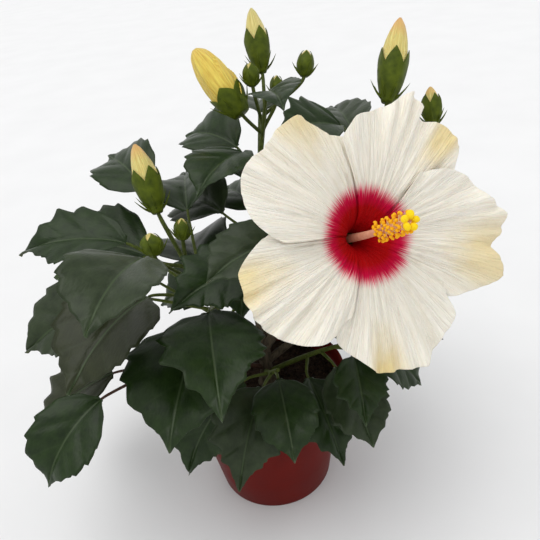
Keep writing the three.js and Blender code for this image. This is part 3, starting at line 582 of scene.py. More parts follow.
def heading(bearing, rise):
    b, r = math.radians(bearing), math.radians(rise)
    return np.array([math.cos(b) * math.cos(r), math.sin(b) * math.cos(r), math.sin(r)])


def unit(vectors):
    return vectors / np.linalg.norm(vectors, axis=-1, keepdims=True)


def square_to(along):
    """A direction square to this one: level, or square to x where this one stands nearly upright."""
    return unit(np.cross((1, 0, 0) if abs(along[2]) > 0.95 else (0, 0, 1), along))


def dice(start):
    """A seeded stream of numbers from 0 to 1."""
    state = start
    while True:
        state = state * 16807 % 2147483647
        yield state / 2147483647


bloom_out = heading(bloom["bearing"], bloom["rise"])
bloom_side = heading(bloom["bearing"] + 90, 0)
bloom_up = np.cross(bloom_out, bloom_side)


def in_bloom(radius, angle, height):
    """A point by its distance from the bloom's axis, its turn round it and its height along it."""
    radius, angle, height = np.broadcast_arrays(radius, np.radians(angle), height)
    x, y = radius * np.cos(angle), radius * np.sin(angle)
    aside = np.array(bloom["base"]) + x[..., None] * bloom_side + y[..., None] * bloom_up
    return aside + height[..., None] * bloom_out


def funnel_height(radius):
    t = np.maximum(0, (radius - bloom["throat"]) / (bloom["reach"] - bloom["throat"])) ** 0.8
    return bloom["depth"] * (1 - np.exp(-t / bloom["opening"])) - bloom["reflex"] * t ** 3


def through(values, v):
    """A smooth curve through even steps of values, read at v from -1 to 1."""
    values = np.array(values, float)
    last = len(values) - 1
    x = np.clip((v + 1) / 2 * last, 0, last - 1e-9)
    i = np.floor(x).astype(int)
    f = x - i
    a, b, c, d = (values[np.clip(i + k, 0, last)] for k in (-1, 0, 1, 2))
    return b + 0.5 * f * (c - a + f * (2 * a - 5 * b + 4 * c - d + f * (3 * (b - c) + d - a)))


def petal_place(petal, s, v, claw_half=bloom["claw_half"], sharpness=0.0):
    """Distance from the axis, turn and height of a petal's surface, s outwards and v across."""
    corners = np.interp(v, np.linspace(-1, 1, len(petal["rim"])), petal["rim"])
    rim = through(petal["rim"], v) * (1 - sharpness) + corners * sharpness
    radius = bloom["throat"] + (rim - bloom["throat"]) * s ** 1.25
    spread = np.sin(np.clip((radius - bloom["throat"]) / bloom["claw_length"], 0, 1) * np.pi / 2)
    middle = petal["claw"] + (petal["angle"] - petal["claw"]) * spread
    angle = middle + (claw_half + (petal["half"] - claw_half) * spread) * v
    share = radius / bloom["reach"]
    ruffle = bloom["ruffle"] * share ** 2 * np.sin(bloom["ruffles"] * np.radians(angle) + 2 * share)
    slope = funnel_height(radius + 0.5) - funnel_height(radius - 0.5)
    lift = bloom["overlap"] * v * spread / np.hypot(1, slope)
    return radius - lift * slope, angle, funnel_height(radius) + lift + ruffle


def midrib(leaf, s):
    """Points of the midrib at shares s, with the directions across and out of the blade's face."""
    b, start, bend, roll = np.radians([leaf["bearing"], leaf["rise"], leaf["droop"], leaf["roll"]])
    r = start - bend * np.asarray(s, float)[..., None]
    ahead = np.array([np.cos(b), np.sin(b), 0])
    level = np.array([np.sin(b), -np.cos(b), 0])
    up = np.array([0, 0, 1])
    reach = leaf["length"] / bend * (np.sin(start) - np.sin(r))
    climb = leaf["length"] / bend * (np.cos(r) - np.cos(start))
    above = up * np.cos(r) - ahead * np.sin(r)
    across = np.cos(roll) * level + np.sin(roll) * above
    return leaf["base"] + ahead * reach + up * climb, across, np.cos(roll) * above - np.sin(roll) * level


def on_stalk(path, t):
    """A stalk leaves its limb, curves, and arrives in line with what it carries."""
    run = path["base"] - path["root"]
    bend = min(stalk_shape["bend"] * np.linalg.norm(run), stalk_shape["greatest_bend"])
    t = np.asarray(t, float)[..., None]
    knots = path["root"], path["root"] + 0.4 * run, path["base"] - bend * path["arrival"], path["base"]
    weights = (1 - t) ** 3, 3 * t * (1 - t) ** 2, 3 * t * t * (1 - t), t ** 3
    return sum(weight * knot for weight, knot in zip(weights, knots))


def stalk_points(path):
    steps = math.ceil(np.linalg.norm(path["base"] - path["root"]) / stalk_shape["point_step"])
    return on_stalk(path, (np.arange(steps) + 1) / (steps + 1))


def blade_lift(leaf, s, u, v):
    """How far a blade rises out of its flat: its fold and its rippled margin."""
    wave = np.sin(leaf_shape["ripples"] * s + leaf["phase"] + leaf_shape["ripple_shift"] * (v > 0))
    fold = abs(u) * math.tan(math.radians(leaf_shape["fold"]))
    return fold + leaf_shape["ripple"] * leaf["length"] * abs(v) * wave


def blade_points(leaf):
    """A few points that stand for a blade when leaves look for room."""
    s, v = np.meshgrid(np.arange(1, 17) / 16, np.arange(-4, 5) / 4, indexing="ij")
    point, across, out = midrib(leaf, s + leaf_shape["sweep"] * v * v * np.sin(np.pi * s))
    knots = np.array(forms[leaf["form"]])
    u = leaf["width"] * leaf["length"] * np.interp(s, knots[:, 0], knots[:, 1]) * v
    lift = blade_lift(leaf, s, u, v)
    return (point + u[..., None] * across + lift[..., None] * out).reshape(-1, 3)


def leaf_from(name, row, order, chance):
    place, stalk_bearing, stalk_rise, stalk_length, bearing, rise, length, droop, roll, width, form = row
    leaf = {"limb": name, "bearing": bearing, "rise": rise, "length": length, "droop": droop, "roll": roll,
            "width": width, "form": form, "phase": full_turn * next(chance)}
    leaf["root"] = on_limb(limbs[name], place - stalk_shape["root_step"] * (order + 1))
    leaf["base"] = on_limb(limbs[name], place) + stalk_length * heading(stalk_bearing, stalk_rise)
    leaf["arrival"] = heading(bearing, rise)
    return leaf


def bud_from(name, row, order):
    place, stalk_bearing, stalk_rise, stalk_length, bearing, rise, length, radius, sepal, yellow, blush = row
    return {"root": on_limb(limbs[name], place - stalk_shape["root_step"] * (order + 0.5)),
            "base": on_limb(limbs[name], place) + stalk_length * heading(stalk_bearing, stalk_rise),
            "arrival": heading(bearing, rise), "length": length, "radius": radius, "sepal": sepal,
            "yellow": yellow, "blush": blush}


def up_from(least_and_more, chance):
    least, more = least_and_more
    return least + more * next(chance)


def rows_by_rule(rule, chance):
    """One shoot's leaves: fanned over its arc, a fixed turn from each to the next, a little off by chance."""
    rows = []
    for i in range(rule["count"]):
        share = i / (rule["count"] - 1)
        fan = rule["arc"] * (i * leaf_turn / 360 % 1 - 0.5)
        bearing = rule["middle"] + fan + leaf_spread["bearing"] * (next(chance) - 0.5)
        rise = rule["rise"] + leaf_trend["rise"] * share + leaf_spread["rise"] * (next(chance) - 0.5)
        stalk = rule["stalk"] * up_from(leaf_spread["stalk"], chance)
        droop = up_from(leaf_spread["droop"], chance)
        roll = leaf_spread["roll"] * (next(chance) - 0.5) - leaf_lean * math.cos(math.radians(bearing))
        width = up_from(leaf_spread["width"], chance)
        form = "lobed" if next(chance) < lobed_share else "ovate"
        place = rule["first"] + (rule["last"] - rule["first"]) * share
        length = rule["blade"] * (leaf_trend["first_blade"] - leaf_trend["shorter"] * share)
        rows.append((place, bearing, rise + stalk_above, stalk, bearing, rise, length, droop, roll,
                     width, form))
    return rows


def too_near(points, places, gaps):
    """Whether any of the points is nearer to a place than that place's gap."""
    low = points.min(axis=0) - apart["look"]
    high = points.max(axis=0) + apart["look"]
    near = np.all((places > low) & (places < high), axis=1)
    if not near.any():
        return False
    far = ((points[:, None] - places[near][None]) ** 2).sum(axis=-1)
    return bool((far < gaps[near] ** 2).any())


def has_room(leaf, taken):
    """Whether a blade and its stalk keep clear of the pot, the floor and all that is there already."""
    blade = blade_points(leaf)
    height = blade[:, 2]
    pot_radius = pot["foot"] + (pot["rim"] - pot["foot"]) * np.maximum(height, 0) / pot["height"]
    over_pot = np.hypot(blade[:, 0], blade[:, 1]) < pot_radius + apart["pot"]
    beside_pot = (height < pot["height"] + apart["pot"]) & over_pot
    if beside_pot.any() or (height < apart["floor"]).any():
        return False
    places = np.concatenate([p for p, _, _ in taken])
    own = np.concatenate([np.full(len(p), name == leaf["limb"]) for p, name, _ in taken])
    stems = np.concatenate([np.full(len(p), is_stem) for p, _, is_stem in taken])
    gaps = np.where(stems, apart["stem"], np.where(own, apart["own_leaf"], apart["leaf"]))
    if too_near(blade, places, gaps):
        return False
    return not too_near(stalk_points(leaf), places[~own], np.full((~own).sum(), apart["stem"]))


def settle(leaf, taken):
    """A leaf that has no room turns aside or tilts, in steps, until it has; if none helps it is left out."""
    for tilt in tilts:
        for aside in turns_aside:
            tried = dict(leaf, bearing=leaf["bearing"] + aside, rise=leaf["rise"] + tilt)
            tried["arrival"] = heading(tried["bearing"], tried["rise"])
            if has_room(tried, taken):
                taken.append((np.vstack([blade_points(tried), stalk_points(tried)]), leaf["limb"], False))
                return [tried]
    return []


def ring_around(centre, along, radius, sides):
    across = square_to(along)
    a = np.pi + 2 * np.pi * np.arange(sides)[:, None] / sides
    return centre + radius * (np.cos(a) * across + np.sin(a) * np.cross(across, along))


# What has its place before the leaves: limbs, buds, petals, and rings round the calyx.
taken = []
buds_on = {name: [bud_from(name, row, order) for order, row in enumerate(buds.get(name, []))]
           for name in limbs}
for name in limbs:
    taken.append((on_limb(limbs[name], np.arange(4, 41) / 40), name, True))
    for bud in buds_on[name]:
        for i in range(7):
            middle = bud["base"] + bud["arrival"] * bud["length"] * i / 6
            ring = ring_around(middle, bud["arrival"], 0.8 * bud["radius"], 5)
            taken.append((np.vstack([[middle], ring]), name, True))
        taken.append((stalk_points(bud), name, False))
outwards, sideways = np.meshgrid(np.arange(1, 12) / 11, np.arange(-5, 6) / 5, indexing="ij")
for petal in petals:
    taken.append((in_bloom(*petal_place(petal, outwards, sideways)).reshape(-1, 3), "corolla", False))
for height in (-3, 6, 13):
    taken.append((in_bloom(12, 30 * np.arange(12), height), "corolla", False))

leaves_on = {}
chance = dice(seed)
for name, rule in rule_leaves.items():
    leaves_on[name] = []
    for i, row in enumerate(rows_by_rule(rule, chance)):
        leaves_on[name] += settle(leaf_from(name, row, i, chance), taken)


def outline(leaf, s, phase):
    """Half the width at shares s: the form's knots, eased, with fine teeth that point towards the tip."""
    knots = np.array(forms[leaf["form"]])
    ease = leaf_teeth["ease"]
    eased = sum(np.interp(s + shift, knots[:, 0], knots[:, 1]) for shift in (-ease, 0, ease)) / 3
    tooth = (leaf_teeth["count"] * s + phase) % 1 - 0.5
    grown = np.clip((s - leaf_teeth["from"]) / leaf_teeth["grow"], 0, 1)
    return leaf["width"] * leaf["length"] * eased * (1 + 2 * leaf_teeth["size"] * grown * tooth)


def leaf_blade(leaf):
    """A closed blade: points, faces, UVs that follow its veins, and 0 for its top or 1 for its underside."""
    stations, columns = leaf_shape["stations"], leaf_shape["columns"]
    s, v = np.meshgrid(np.linspace(0.004, 0.992, stations), np.linspace(-1, 1, columns), indexing="ij")
    swept = s + leaf_shape["sweep"] * v * v * np.sin(np.pi * s)
    point, across, out = midrib(leaf, swept)
    u = np.where(v < 0, outline(leaf, s, 0.0), outline(leaf, s, 0.5)) * v
    spacing = leaf_veins["step"] * leaf["length"]
    vein = (swept * leaf["length"] - leaf_veins["lean"] * abs(u)) / spacing
    flank = np.sin(np.pi * np.clip(abs(v), 0.001, 0.93))
    bulge = leaf_veins["quilt"] * np.sqrt(abs(np.sin(np.pi * vein)) * flank)
    groove = leaf_veins["groove"] * np.exp(-(u / leaf_veins["groove_width"]) ** 2)
    lift = blade_lift(leaf, s, u, v) + bulge - groove
    surface = point + u[..., None] * across + lift[..., None] * out
    normal = unit(np.cross(np.gradient(surface, axis=1), np.gradient(surface, axis=0)) + 1e-9)
    normal *= np.sign((normal * out).sum(axis=-1, keepdims=True))
    half = leaf_shape["thickness"] * (0.5 - leaf_shape["thin_edge"] * v ** 2)[..., None]
    ridge = (leaf_veins["ridge"] * np.exp(-(u / leaf_veins["ridge_width"]) ** 2) * (1.1 - s))[..., None]
    rings = np.concatenate([surface + half * normal, (surface - (half + ridge) * normal)[:, ::-1]], axis=1)
    uv = np.stack([u / 100, vein / 10], axis=-1)
    uv = np.concatenate([uv, uv[:, ::-1]], axis=1)
    count = rings.shape[1]
    foot, tip = (np.broadcast_to(end, (1, count, 3)) for end in midrib(leaf, np.array([0.0, 1.0]))[0])
    rings = np.concatenate([foot, rings, tip])
    uv = np.concatenate([uv[:1], uv, uv[-1:]])
    faces = quads(stations + 2, count)
    column = np.tile(np.arange(count), stations + 1)
    return rings.reshape(-1, 3), faces, uv.reshape(-1, 2), (column >= columns - 1).astype(int)


def swept_ring(point_rows):
    """A closed round body from rows of points, the first and last drawn in to a point."""
    rows = np.asarray(point_rows)
    ends = [np.broadcast_to(rows[k].mean(axis=0), rows[k].shape) for k in (0, -1)]
    rows = np.concatenate([[ends[0]], rows, [ends[1]]])
    return rows.reshape(-1, 3), quads(rows.shape[0], rows.shape[1])


def join_parts(parts):
    """Several (points, faces, ...) as one, with the faces renumbered."""
    joined = [np.concatenate([part[0] for part in parts])]
    start, faces = 0, []
    for part in parts:
        faces.append(part[1] + start)
        start += len(part[0])
    joined.append(np.concatenate(faces))
    for k in range(2, len(parts[0])):
        joined.append(np.concatenate([part[k] for part in parts]))
    return joined


def bud_rings(bud, heights, angles, petal_folds):
    """Points of a bud's skin: its profile, with its petals rolled round each other."""
    knots = np.array(bud_profile)
    radius = np.interp(heights, knots[:, 0], knots[:, 1]) ** (1 - bud_shape["plump"] * bud["yellow"])
    turns = bud_shape["petals"] * angles / (2 * np.pi) + bud_shape["twist"] * heights * 2
    step = (turns % 1 - 0.5) * bud_shape["fold"] * petal_folds
    along = bud["arrival"]
    across = square_to(along)
    side = np.cos(angles)[..., None] * across + np.sin(angles)[..., None] * np.cross(across, along)
    reach = (bud["radius"] * radius * (bud_shape["skin"] + step))[..., None]
    return bud["base"] + heights[..., None] * bud["length"] * along + reach * side


def bud_tint(bud):
    """One number for the material: the yellow from 0 to 1, with twice the blush in tenths on top."""
    return bud["yellow"] + 2 * round(10 * bud["blush"])


def bud_petals(bud):
    rows, columns = bud_shape["rows"], bud_shape["columns"]
    turn = 2 * np.pi * np.arange(columns) / columns
    h, a = np.meshgrid(np.linspace(0.02, 0.995, rows), turn, indexing="ij")
    folds = 1.0 + bud_shape["ragged"] * bud["yellow"] * np.sin(7 * a + 9 * h)
    points, faces = swept_ring(bud_rings(bud, h, a, folds))
    uv = np.stack([np.broadcast_to(a / (2 * np.pi), h.shape), h], axis=-1)
    uv = np.concatenate([uv[:1], uv, uv[-1:]]).reshape(-1, 2)
    return points, faces, uv, np.full(len(points), bud_tint(bud))


def bud_sepals(bud):
    """The green cup round a bud, its rim cut into pointed sepals."""
    turn = np.arange(bud_shape["columns"]) / bud_shape["columns"]
    peak = 1 - abs((bud_shape["sepals"] * turn) % 1 - 0.5) * 2
    rim = bud["sepal"] * (sepal_shape["notch"] + sepal_shape["point"] * peak ** sepal_shape["taper"])
    t = np.linspace(0, 1, sepal_shape["rows"])[:, None]
    h = -sepal_shape["foot"] + (rim + sepal_shape["foot"]) * t
    a = np.broadcast_to(2 * np.pi * turn, h.shape)
    wall = bud_rings(bud, h, a, 0)
    out = unit(wall - (bud["base"] + h[..., None] * bud["length"] * bud["arrival"]))
    ribs = sepal_shape["rib"] * abs(np.cos(bud_shape["sepals"] / 2 * a))[..., None] ** 3
    flare = sepal_shape["flare"] * t[..., None] ** 4
    skin = wall + out * (sepal_shape["outside"] + ribs + flare)
    lining = (wall + out * (sepal_shape["inside"] + flare))[::-1]
    return swept_ring(np.concatenate([skin, lining[:-1]]))


def spike(start, direction, length, radius, curl):
    """A narrow pointed bract that bends towards curl."""
    t = np.array([0, 0.2, 0.45, 0.7, 0.88, 0.98])
    centres = start + np.outer(t * length, direction) + np.outer(0.25 * length * t ** 2, curl)
    widths = radius * np.array([1, 1.15, 1, 0.7, 0.35, 0.08])
    return swept_ring([ring_around(c, direction, w, 6) for c, w in zip(centres, widths)])


def bud_bracts(bud):
    along = bud["arrival"]
    length = bract_shape["length"] + 0.7 * bud["radius"]
    bracts = []
    for side in ring_around(np.zeros(3), along, 1, bract_shape["count"]):
        start = bud["base"] + bract_shape["in"] * bud["radius"] * side
        outwards = unit(along + bract_shape["spread"] * side)
        bracts.append(spike(start, outwards, length, bract_shape["radius"], bract_shape["curl"] * along))
    return bracts


leaf_tops = {
    "dark": ((0.006, 0.017, 0.002, 1), (0.016, 0.036, 0.006, 1)),
    "grey": ((0.014, 0.024, 0.008, 1), (0.032, 0.048, 0.020, 1)),
    "olive": ((0.015, 0.020, 0.006, 1), (0.026, 0.032, 0.011, 1)),
    "fresh": ((0.024, 0.050, 0.008, 1), (0.050, 0.088, 0.016, 1)),
}
vein_top = (0.042, 0.066, 0.026, 1)
leaf_under = ((0.040, 0.052, 0.026, 1), (0.062, 0.078, 0.040, 1))
vein_under = (0.10, 0.12, 0.062, 1)


def leaf_material(name, colours, vein_colour, roughness, sheen):
    """A blade's finish, its midrib, side veins and fine net lighter. Its UVs are the distance from the midrib
    and the count of side veins."""
    made, tree, shader = new_material(name, Roughness=roughness, Specular_IOR_Level=0.23, Sheen_Weight=sheen,
                                      Sheen_Roughness=0.4)
    grain = add_grain(tree, place_on_object(tree), scale=150.0, dark=colours[0], light=colours[1], detail=4.0,
                      spread=0.25)
    on_leaf = place_on_surface(tree)
    axes = axes_of(tree, on_leaf)
    from_midrib = do_math(tree, "ABSOLUTE", axes["X"])
    midrib_mask = ramp(tree, from_midrib, 0.009, 0.003, smooth=True)
    from_vein = do_math(tree, "PINGPONG", do_math(tree, "MULTIPLY", axes["Y"], 10.0), 0.5)
    vein_mask = ramp(tree, from_vein, 0.07, 0.01, high=0.14, smooth=True)
    net = {"Vector": on_leaf, "Scale": 42.0}
    from_net = add_node(tree, "ShaderNodeTexVoronoi", net, feature="DISTANCE_TO_EDGE").outputs["Distance"]
    net_mask = ramp(tree, from_net, 0.09, 0.0, high=0.1)
    mask = do_math(tree, "MAXIMUM", do_math(tree, "MAXIMUM", midrib_mask, vein_mask), net_mask)
    tree.links.new(mix_colours(tree, mask, grain["Color"], vein_colour), shader.inputs["Base Color"])
    bump(tree, shader, ramp(tree, from_net, 0.0, 0.3), strength=0.16, distance=0.0003)
    return made


leaf_finishes = {shade: leaf_material("leaf_top_" + shade, colours, vein_top, roughness=0.36, sheen=0.03)
                 for shade, colours in leaf_tops.items()}
underside = leaf_material("leaf_underside", leaf_under, vein_under, roughness=0.6, sheen=0.05)
fresh_leaves = {("left", 1), ("rear_right", 3)}
olive_leaves = {("low_left", 1), ("left", 7)}
grey_every = 3


def shade_of(name, order):
    if (name, order) in fresh_leaves:
        return "fresh"
    if (name, order) in olive_leaves:
        return "olive"
    return "grey" if order % grey_every == 1 else "dark"


def grained_skin(name, dark, light, roughness, scale=300.0):
    made, tree, shader = new_material(name, Roughness=roughness, Specular_IOR_Level=0.16)
    grain = add_grain(tree, place_on_object(tree), scale, dark, light, detail=4.0)
    tree.links.new(grain["Color"], shader.inputs["Base Color"])
    bump(tree, shader, grain["Height"], strength=0.25, distance=0.0003)
    return made


green_stem = grained_skin("green_stem", (0.040, 0.058, 0.008, 1), (0.085, 0.110, 0.018, 1), roughness=0.5)
reddish_stem = grained_skin("reddish_stem", (0.040, 0.020, 0.014, 1), (0.080, 0.042, 0.028, 1), roughness=0.5)
sepal_green = grained_skin("sepal_green", (0.040, 0.060, 0.002, 1), (0.090, 0.122, 0.005, 1), roughness=0.5,
                          scale=220.0)
bud_cream = ((0.52, 0.42, 0.11, 1), (0.80, 0.74, 0.33, 1))
bud_yellow = ((0.58, 0.36, 0.030, 1), (0.86, 0.70, 0.12, 1))
bud_blush = (0.78, 0.38, 0.12, 1)

# The tint is taken apart again: its rest after twos is the yellow, and the twos are tenths of blush.
bud_petal, tree, shader = new_material("folded_bud_petal", Roughness=0.6, Sheen_Weight=0.15,
                                       Subsurface_Weight=0.1, Subsurface_Scale=0.002)
tint = add_node(tree, "ShaderNodeAttribute", attribute_name="tint").outputs["Fac"]
yellow = do_math(tree, "MODULO", tint, 2.0)
blush = do_math(tree, "MULTIPLY", do_math(tree, "FLOOR", do_math(tree, "MULTIPLY", tint, 0.5)), 0.1)
on_bud = place_on_surface(tree)
streaks = stretch(tree, on_bud, 26.0, 1.6, 1.0)
grain = add_grain(tree, streaks, scale=2.0, dark=bud_cream[0], light=bud_cream[1], detail=4.0)
deep = add_grain(tree, streaks, scale=2.0, dark=bud_yellow[0], light=bud_yellow[1], detail=4.0)
near_tip = ramp(tree, axes_of(tree, on_bud)["Y"], 0.72, 0.98)
body = mix_colours(tree, yellow, grain["Color"], deep["Color"])
tipped = mix_colours(tree, do_math(tree, "MULTIPLY", near_tip, blush), body, bud_blush)
tree.links.new(tipped, shader.inputs["Base Color"])
bump(tree, shader, grain["Height"], strength=0.6, distance=0.0010)

shade_names = list(leaf_finishes)
for name, limb in limbs.items():
    blades = []
    for order, leaf in enumerate(leaves_on[name]):
        points, faces, uv, side = leaf_blade(leaf)
        top = shade_names.index(shade_of(name, order))
        blades.append((points, faces, uv, np.where(side == 1, len(shade_names), top)))
    points, faces, uv, sides = join_parts(blades)
    leaves = make_piece("leaves_" + name, points, faces, [*leaf_finishes.values(), underside], uv=uv,
                        face_materials=sides)
    belongs(leaves, "foliage", "shoot_" + name)

    share = np.linspace(limb["bough"], 1, 36)
    stems = [(on_limb(limb, share), limb_girth(limb, share))]
    along = np.linspace(0, 1, 16)
    for leaf in leaves_on[name]:
        stems.append((on_stalk(leaf, along), leaf_shape["stalk"] * (1.25 - 0.4 * along)))
    for bud in buds_on[name]:
        thick = bud_shape["stalk"][0] + (bud_shape["stalk"][1] - bud_shape["stalk"][0]) * along
        stems.append((on_stalk(bud, along), thick))
    twigs = swept_stems("twigs_" + name, stems, sides=10, relief=0.25,
                        material=reddish_stem if name == "low_left" else green_stem)
    belongs(twigs, "foliage", "shoot_" + name)

    if buds_on[name]:
        greens = [part for bud in buds_on[name] for part in (bud_sepals(bud), *bud_bracts(bud))]
        bud_greens = make_piece("bud_greens_" + name, *join_parts(greens), [sepal_green])
        belongs(bud_greens, "calyx", "shoot_" + name)
        points, faces, uv, tints = join_parts([bud_petals(bud) for bud in buds_on[name]])
        bud_bodies = make_piece("bud_petals_" + name, points, faces, [bud_petal], uv=uv, tint=tints)
        belongs(bud_bodies, "petal", "shoot_" + name)

# ---- Petals of the bloom -----------------------------------------------------------------------------
# Five broad overlapping petals, thin and crinkled like damp tissue, with ruffled margins. They are cream
# with faint yellow edges, and their feet make a crimson eye that runs out in feathery streaks.

petal_skin = {"outwards": 110, "across": 96, "thickness": 0.5, "crinkle": 1.3, "fine": 0.5, "frill": 2.4,
              "frills": 3.5, "claw_half": 37.5, "sharpness": 0.7, "uv_length": 100}
# Each kind of crease: how wide it is in degrees round the bloom, how long it is, and where its noise starts.
broad_crease = (3.4, 30.0, 0)
fine_crease = (1.5, 14.0, 9)
petal_cream = (0.90, 0.84, 0.72, 1)
petal_white = (0.95, 0.91, 0.82, 1)
petal_yellow = (0.80, 0.64, 0.30, 1)
petal_vein = (0.60, 0.50, 0.37, 1)
eye_crimson = (0.70, 0.001, 0.085, 1)
eye_dark = (0.46, 0.0004, 0.002, 1)
# Shares of uv_length from the axis: the eye is crimson up to the first and has faded out by the second.
eye_edge = (0.235, 0.31)


def petal_material(name, yellow):
    """Cream with fine rays, a yellow part of the margin and the crimson eye. Its UVs are the turn from the
    petal's middle and the distance from the bloom's axis."""
    made, tree, shader = new_material(name, Roughness=0.6, Specular_IOR_Level=0.12, Subsurface_Weight=0.05,
                                      Subsurface_Scale=0.002)
    on_petal = place_on_surface(tree)
    axes = axes_of(tree, on_petal)
    rays = stretch(tree, on_petal, 11.0, 1.1, 1.0)
    fine_rays = stretch(tree, on_petal, 34.0, 1.6, 1.0)
    grain = add_grain(tree, rays, scale=2.0, dark=petal_cream, light=petal_white, detail=4.0)
    veins = add_grain(tree, fine_rays, scale=2.0, dark=black, light=white, detail=3.0, spread=0.12)

    middle, width, strength = yellow
    patches = cloud(tree, on_petal, scale=5.0, detail=3.0)
    wander = do_math(tree, "MULTIPLY", do_math(tree, "SUBTRACT", patches, 0.5), 0.35)
    margin = ramp(tree, do_math(tree, "ADD", axes["Y"], wander), 0.42, 0.85, smooth=True)
    aside = do_math(tree, "ABSOLUTE", do_math(tree, "SUBTRACT", axes["X"], middle))
    tinted = ramp(tree, aside, width, 0.2 * width, high=strength, smooth=True)
    pale = mix_colours(tree, do_math(tree, "MULTIPLY", margin, tinted), grain["Color"], petal_yellow)
    veined = mix_colours(tree, do_math(tree, "MULTIPLY", veins["Height"], 0.11), pale, petal_vein)

    ragged = do_math(tree, "MULTIPLY", do_math(tree, "SUBTRACT", veins["Height"], 0.5), 0.05)
    reach = do_math(tree, "ADD", axes["Y"], ragged)
    eye_mask = ramp(tree, reach, eye_edge[1], eye_edge[0], smooth=True)
    core = mix_colours(tree, ramp(tree, axes["Y"], 0.27, 0.17), eye_crimson, eye_dark)
    tree.links.new(mix_colours(tree, eye_mask, veined, core), shader.inputs["Base Color"])

    creases = cloud(tree, stretch(tree, on_petal, 60.0, 22.0, 1.0), scale=1.6, detail=3.0)
    relief = do_math(tree, "ADD", veins["Height"], do_math(tree, "MULTIPLY", creases, 0.8))
    bump(tree, shader, relief, strength=0.6, distance=0.0012)
    return made


def creases_in(petal, angle, radius, kind):
    """Creases that run outwards, from a noise of the petal's own."""
    wide, long, start = kind
    return np.array([noise.noise(Vector((a / wide, r / long, petal["claw"] + start)))
                     for a, r in zip(angle.flat, radius.flat)])


def petal_piece(name, petal):
    rows, columns = petal_skin["outwards"], petal_skin["across"]
    s, v = np.meshgrid(np.linspace(0.01, 1, rows), np.linspace(-1, 1, columns), indexing="ij")
    radius, angle, height = petal_place(petal, s, v, petal_skin["claw_half"], petal_skin["sharpness"])
    uneven = v + 0.15 * np.sin(5 * v)
    frill = petal_skin["frill"] * s ** 5 * np.sin(2 * np.pi * petal_skin["frills"] * uneven)
    surface = in_bloom(radius, angle, height + frill)
    normal = unit(np.cross(np.gradient(surface, axis=0), np.gradient(surface, axis=1)))
    crease = creases_in(petal, angle, radius, broad_crease)
    fine = creases_in(petal, angle, radius, fine_crease)
    relief = (petal_skin["crinkle"] * (crease + petal_skin["fine"] * fine)).reshape(s.shape)
    relief = relief * np.clip(s * 2.5, 0, 1)
    surface = surface + relief[..., None] * normal
    half = petal_skin["thickness"] / 2 * (1 - 0.5 * s[..., None] ** 4)
    rings = np.concatenate([surface + half * normal, (surface - half * normal)[:, ::-1]], axis=1)
    uv = np.stack([(angle - petal["angle"]) / bloom["petal_turn"], radius / petal_skin["uv_length"]], axis=-1)
    uv = np.concatenate([uv, uv[:, ::-1]], axis=1)
    count = rings.shape[1]
    j = np.arange(columns - 1)
    end = np.stack([j, j + 1, count - 2 - j, count - 1 - j], axis=-1)
    faces = np.concatenate([quads(rows, count), end[:, ::-1], (rows - 1) * count + end])
    return make_piece(name, rings, faces, [petal_material(name + "_skin", petal["yellow"])], uv=uv)


for i, petal in enumerate(petals, start=1):
    belongs(petal_piece(f"petal_{i}", petal), "petal", f"bloom_petal_{i}")

# ---- Column of the bloom -----------------------------------------------------------------------------
# The stamens' threads are joined in one peach-pink tube round the style. Golden anthers stand out of its
# outer half on short threads, strewn by a fixed turn, and five soft yellow pads end the style.

column = {"length": 66, "base": 2.7, "tip": 1.3, "bend": 5, "bend_turn": 60, "seat": -0.45, "sides": 20}
stamens = {"count": 84, "from": 0.54, "to": 0.94, "turn": 137.5, "thread": 5.2, "radius": 0.22, "anther": 1.2,
           "shortest": 0.75, "longer": 0.35, "lift": 1.8, "sway": 1.2, "bow": 0.6}
stigmas = {"count": 5, "from": 0.93, "reach": 3.4, "lift": 5.6, "arm": 0.5, "bow": 1.4, "pad": 2.2}
grain_sizes = (0.8, 1.15)
grain_seed = 5

column_skin = grained_skin("peach_column", (0.72, 0.32, 0.19, 1), (0.84, 0.47, 0.30, 1), roughness=0.5,
                           scale=400.0)
thread_skin = grained_skin("pale_thread", (0.85, 0.62, 0.38, 1), (0.92, 0.74, 0.50, 1), roughness=0.5,
                           scale=400.0)
anther_gold = grained_skin("golden_anther", (0.86, 0.33, 0.004, 1), (0.95, 0.56, 0.02, 1), roughness=0.8,
                           scale=2500.0)
stigma_yellow = grained_skin("yellow_stigma", (0.92, 0.60, 0.004, 1), (0.97, 0.74, 0.02, 1), roughness=0.7,
                             scale=1500.0)


def on_column(s):
    s = np.asarray(s, float)
    return in_bloom(column["bend"] * s * s, column["bend_turn"], column["seat"] + column["length"] * s)


def from_column(foot, reach, turn, lift):
    """A point beside the column: so far out from foot at a turn, and so far on along the axis."""
    return foot + in_bloom(reach, turn, lift) - np.array(bloom["base"])


tube_share = np.linspace(0, 0.95, 60)
tube_radius = column["base"] + (column["tip"] - column["base"]) * tube_share
tube_radius[-3:] *= (0.95, 0.8, 0.45)
shaft = swept_stems("column_shaft", [(on_column(tube_share), tube_radius)], sides=column["sides"], relief=0.2,
                    material=column_skin)
threads = []
anther_spots = []
t = np.linspace(0, 1, 7)[:, None]
for i in range(stamens["count"]):
    foot = on_column(stamens["from"] + (stamens["to"] - stamens["from"]) * i / (stamens["count"] - 1))
    reach = stamens["thread"] * (stamens["shortest"] + stamens["longer"] * math.sin(2.4 * i) ** 2)
    tip = from_column(foot, reach, stamens["turn"] * i, stamens["lift"] + stamens["sway"] * math.sin(1.7 * i))
    bow = foot + 0.5 * (tip - foot) - stamens["bow"] * bloom_out
    threads.append((bent(t, foot, bow, tip), stamens["radius"]))
    anther_spots.append(tip)
stamen_threads = swept_stems("stamen_threads", threads, sides=5, relief=0.0, material=thread_skin)
arms = []
pad_spots = []
t = np.linspace(0, 1, 9)[:, None]
foot = on_column(stigmas["from"])
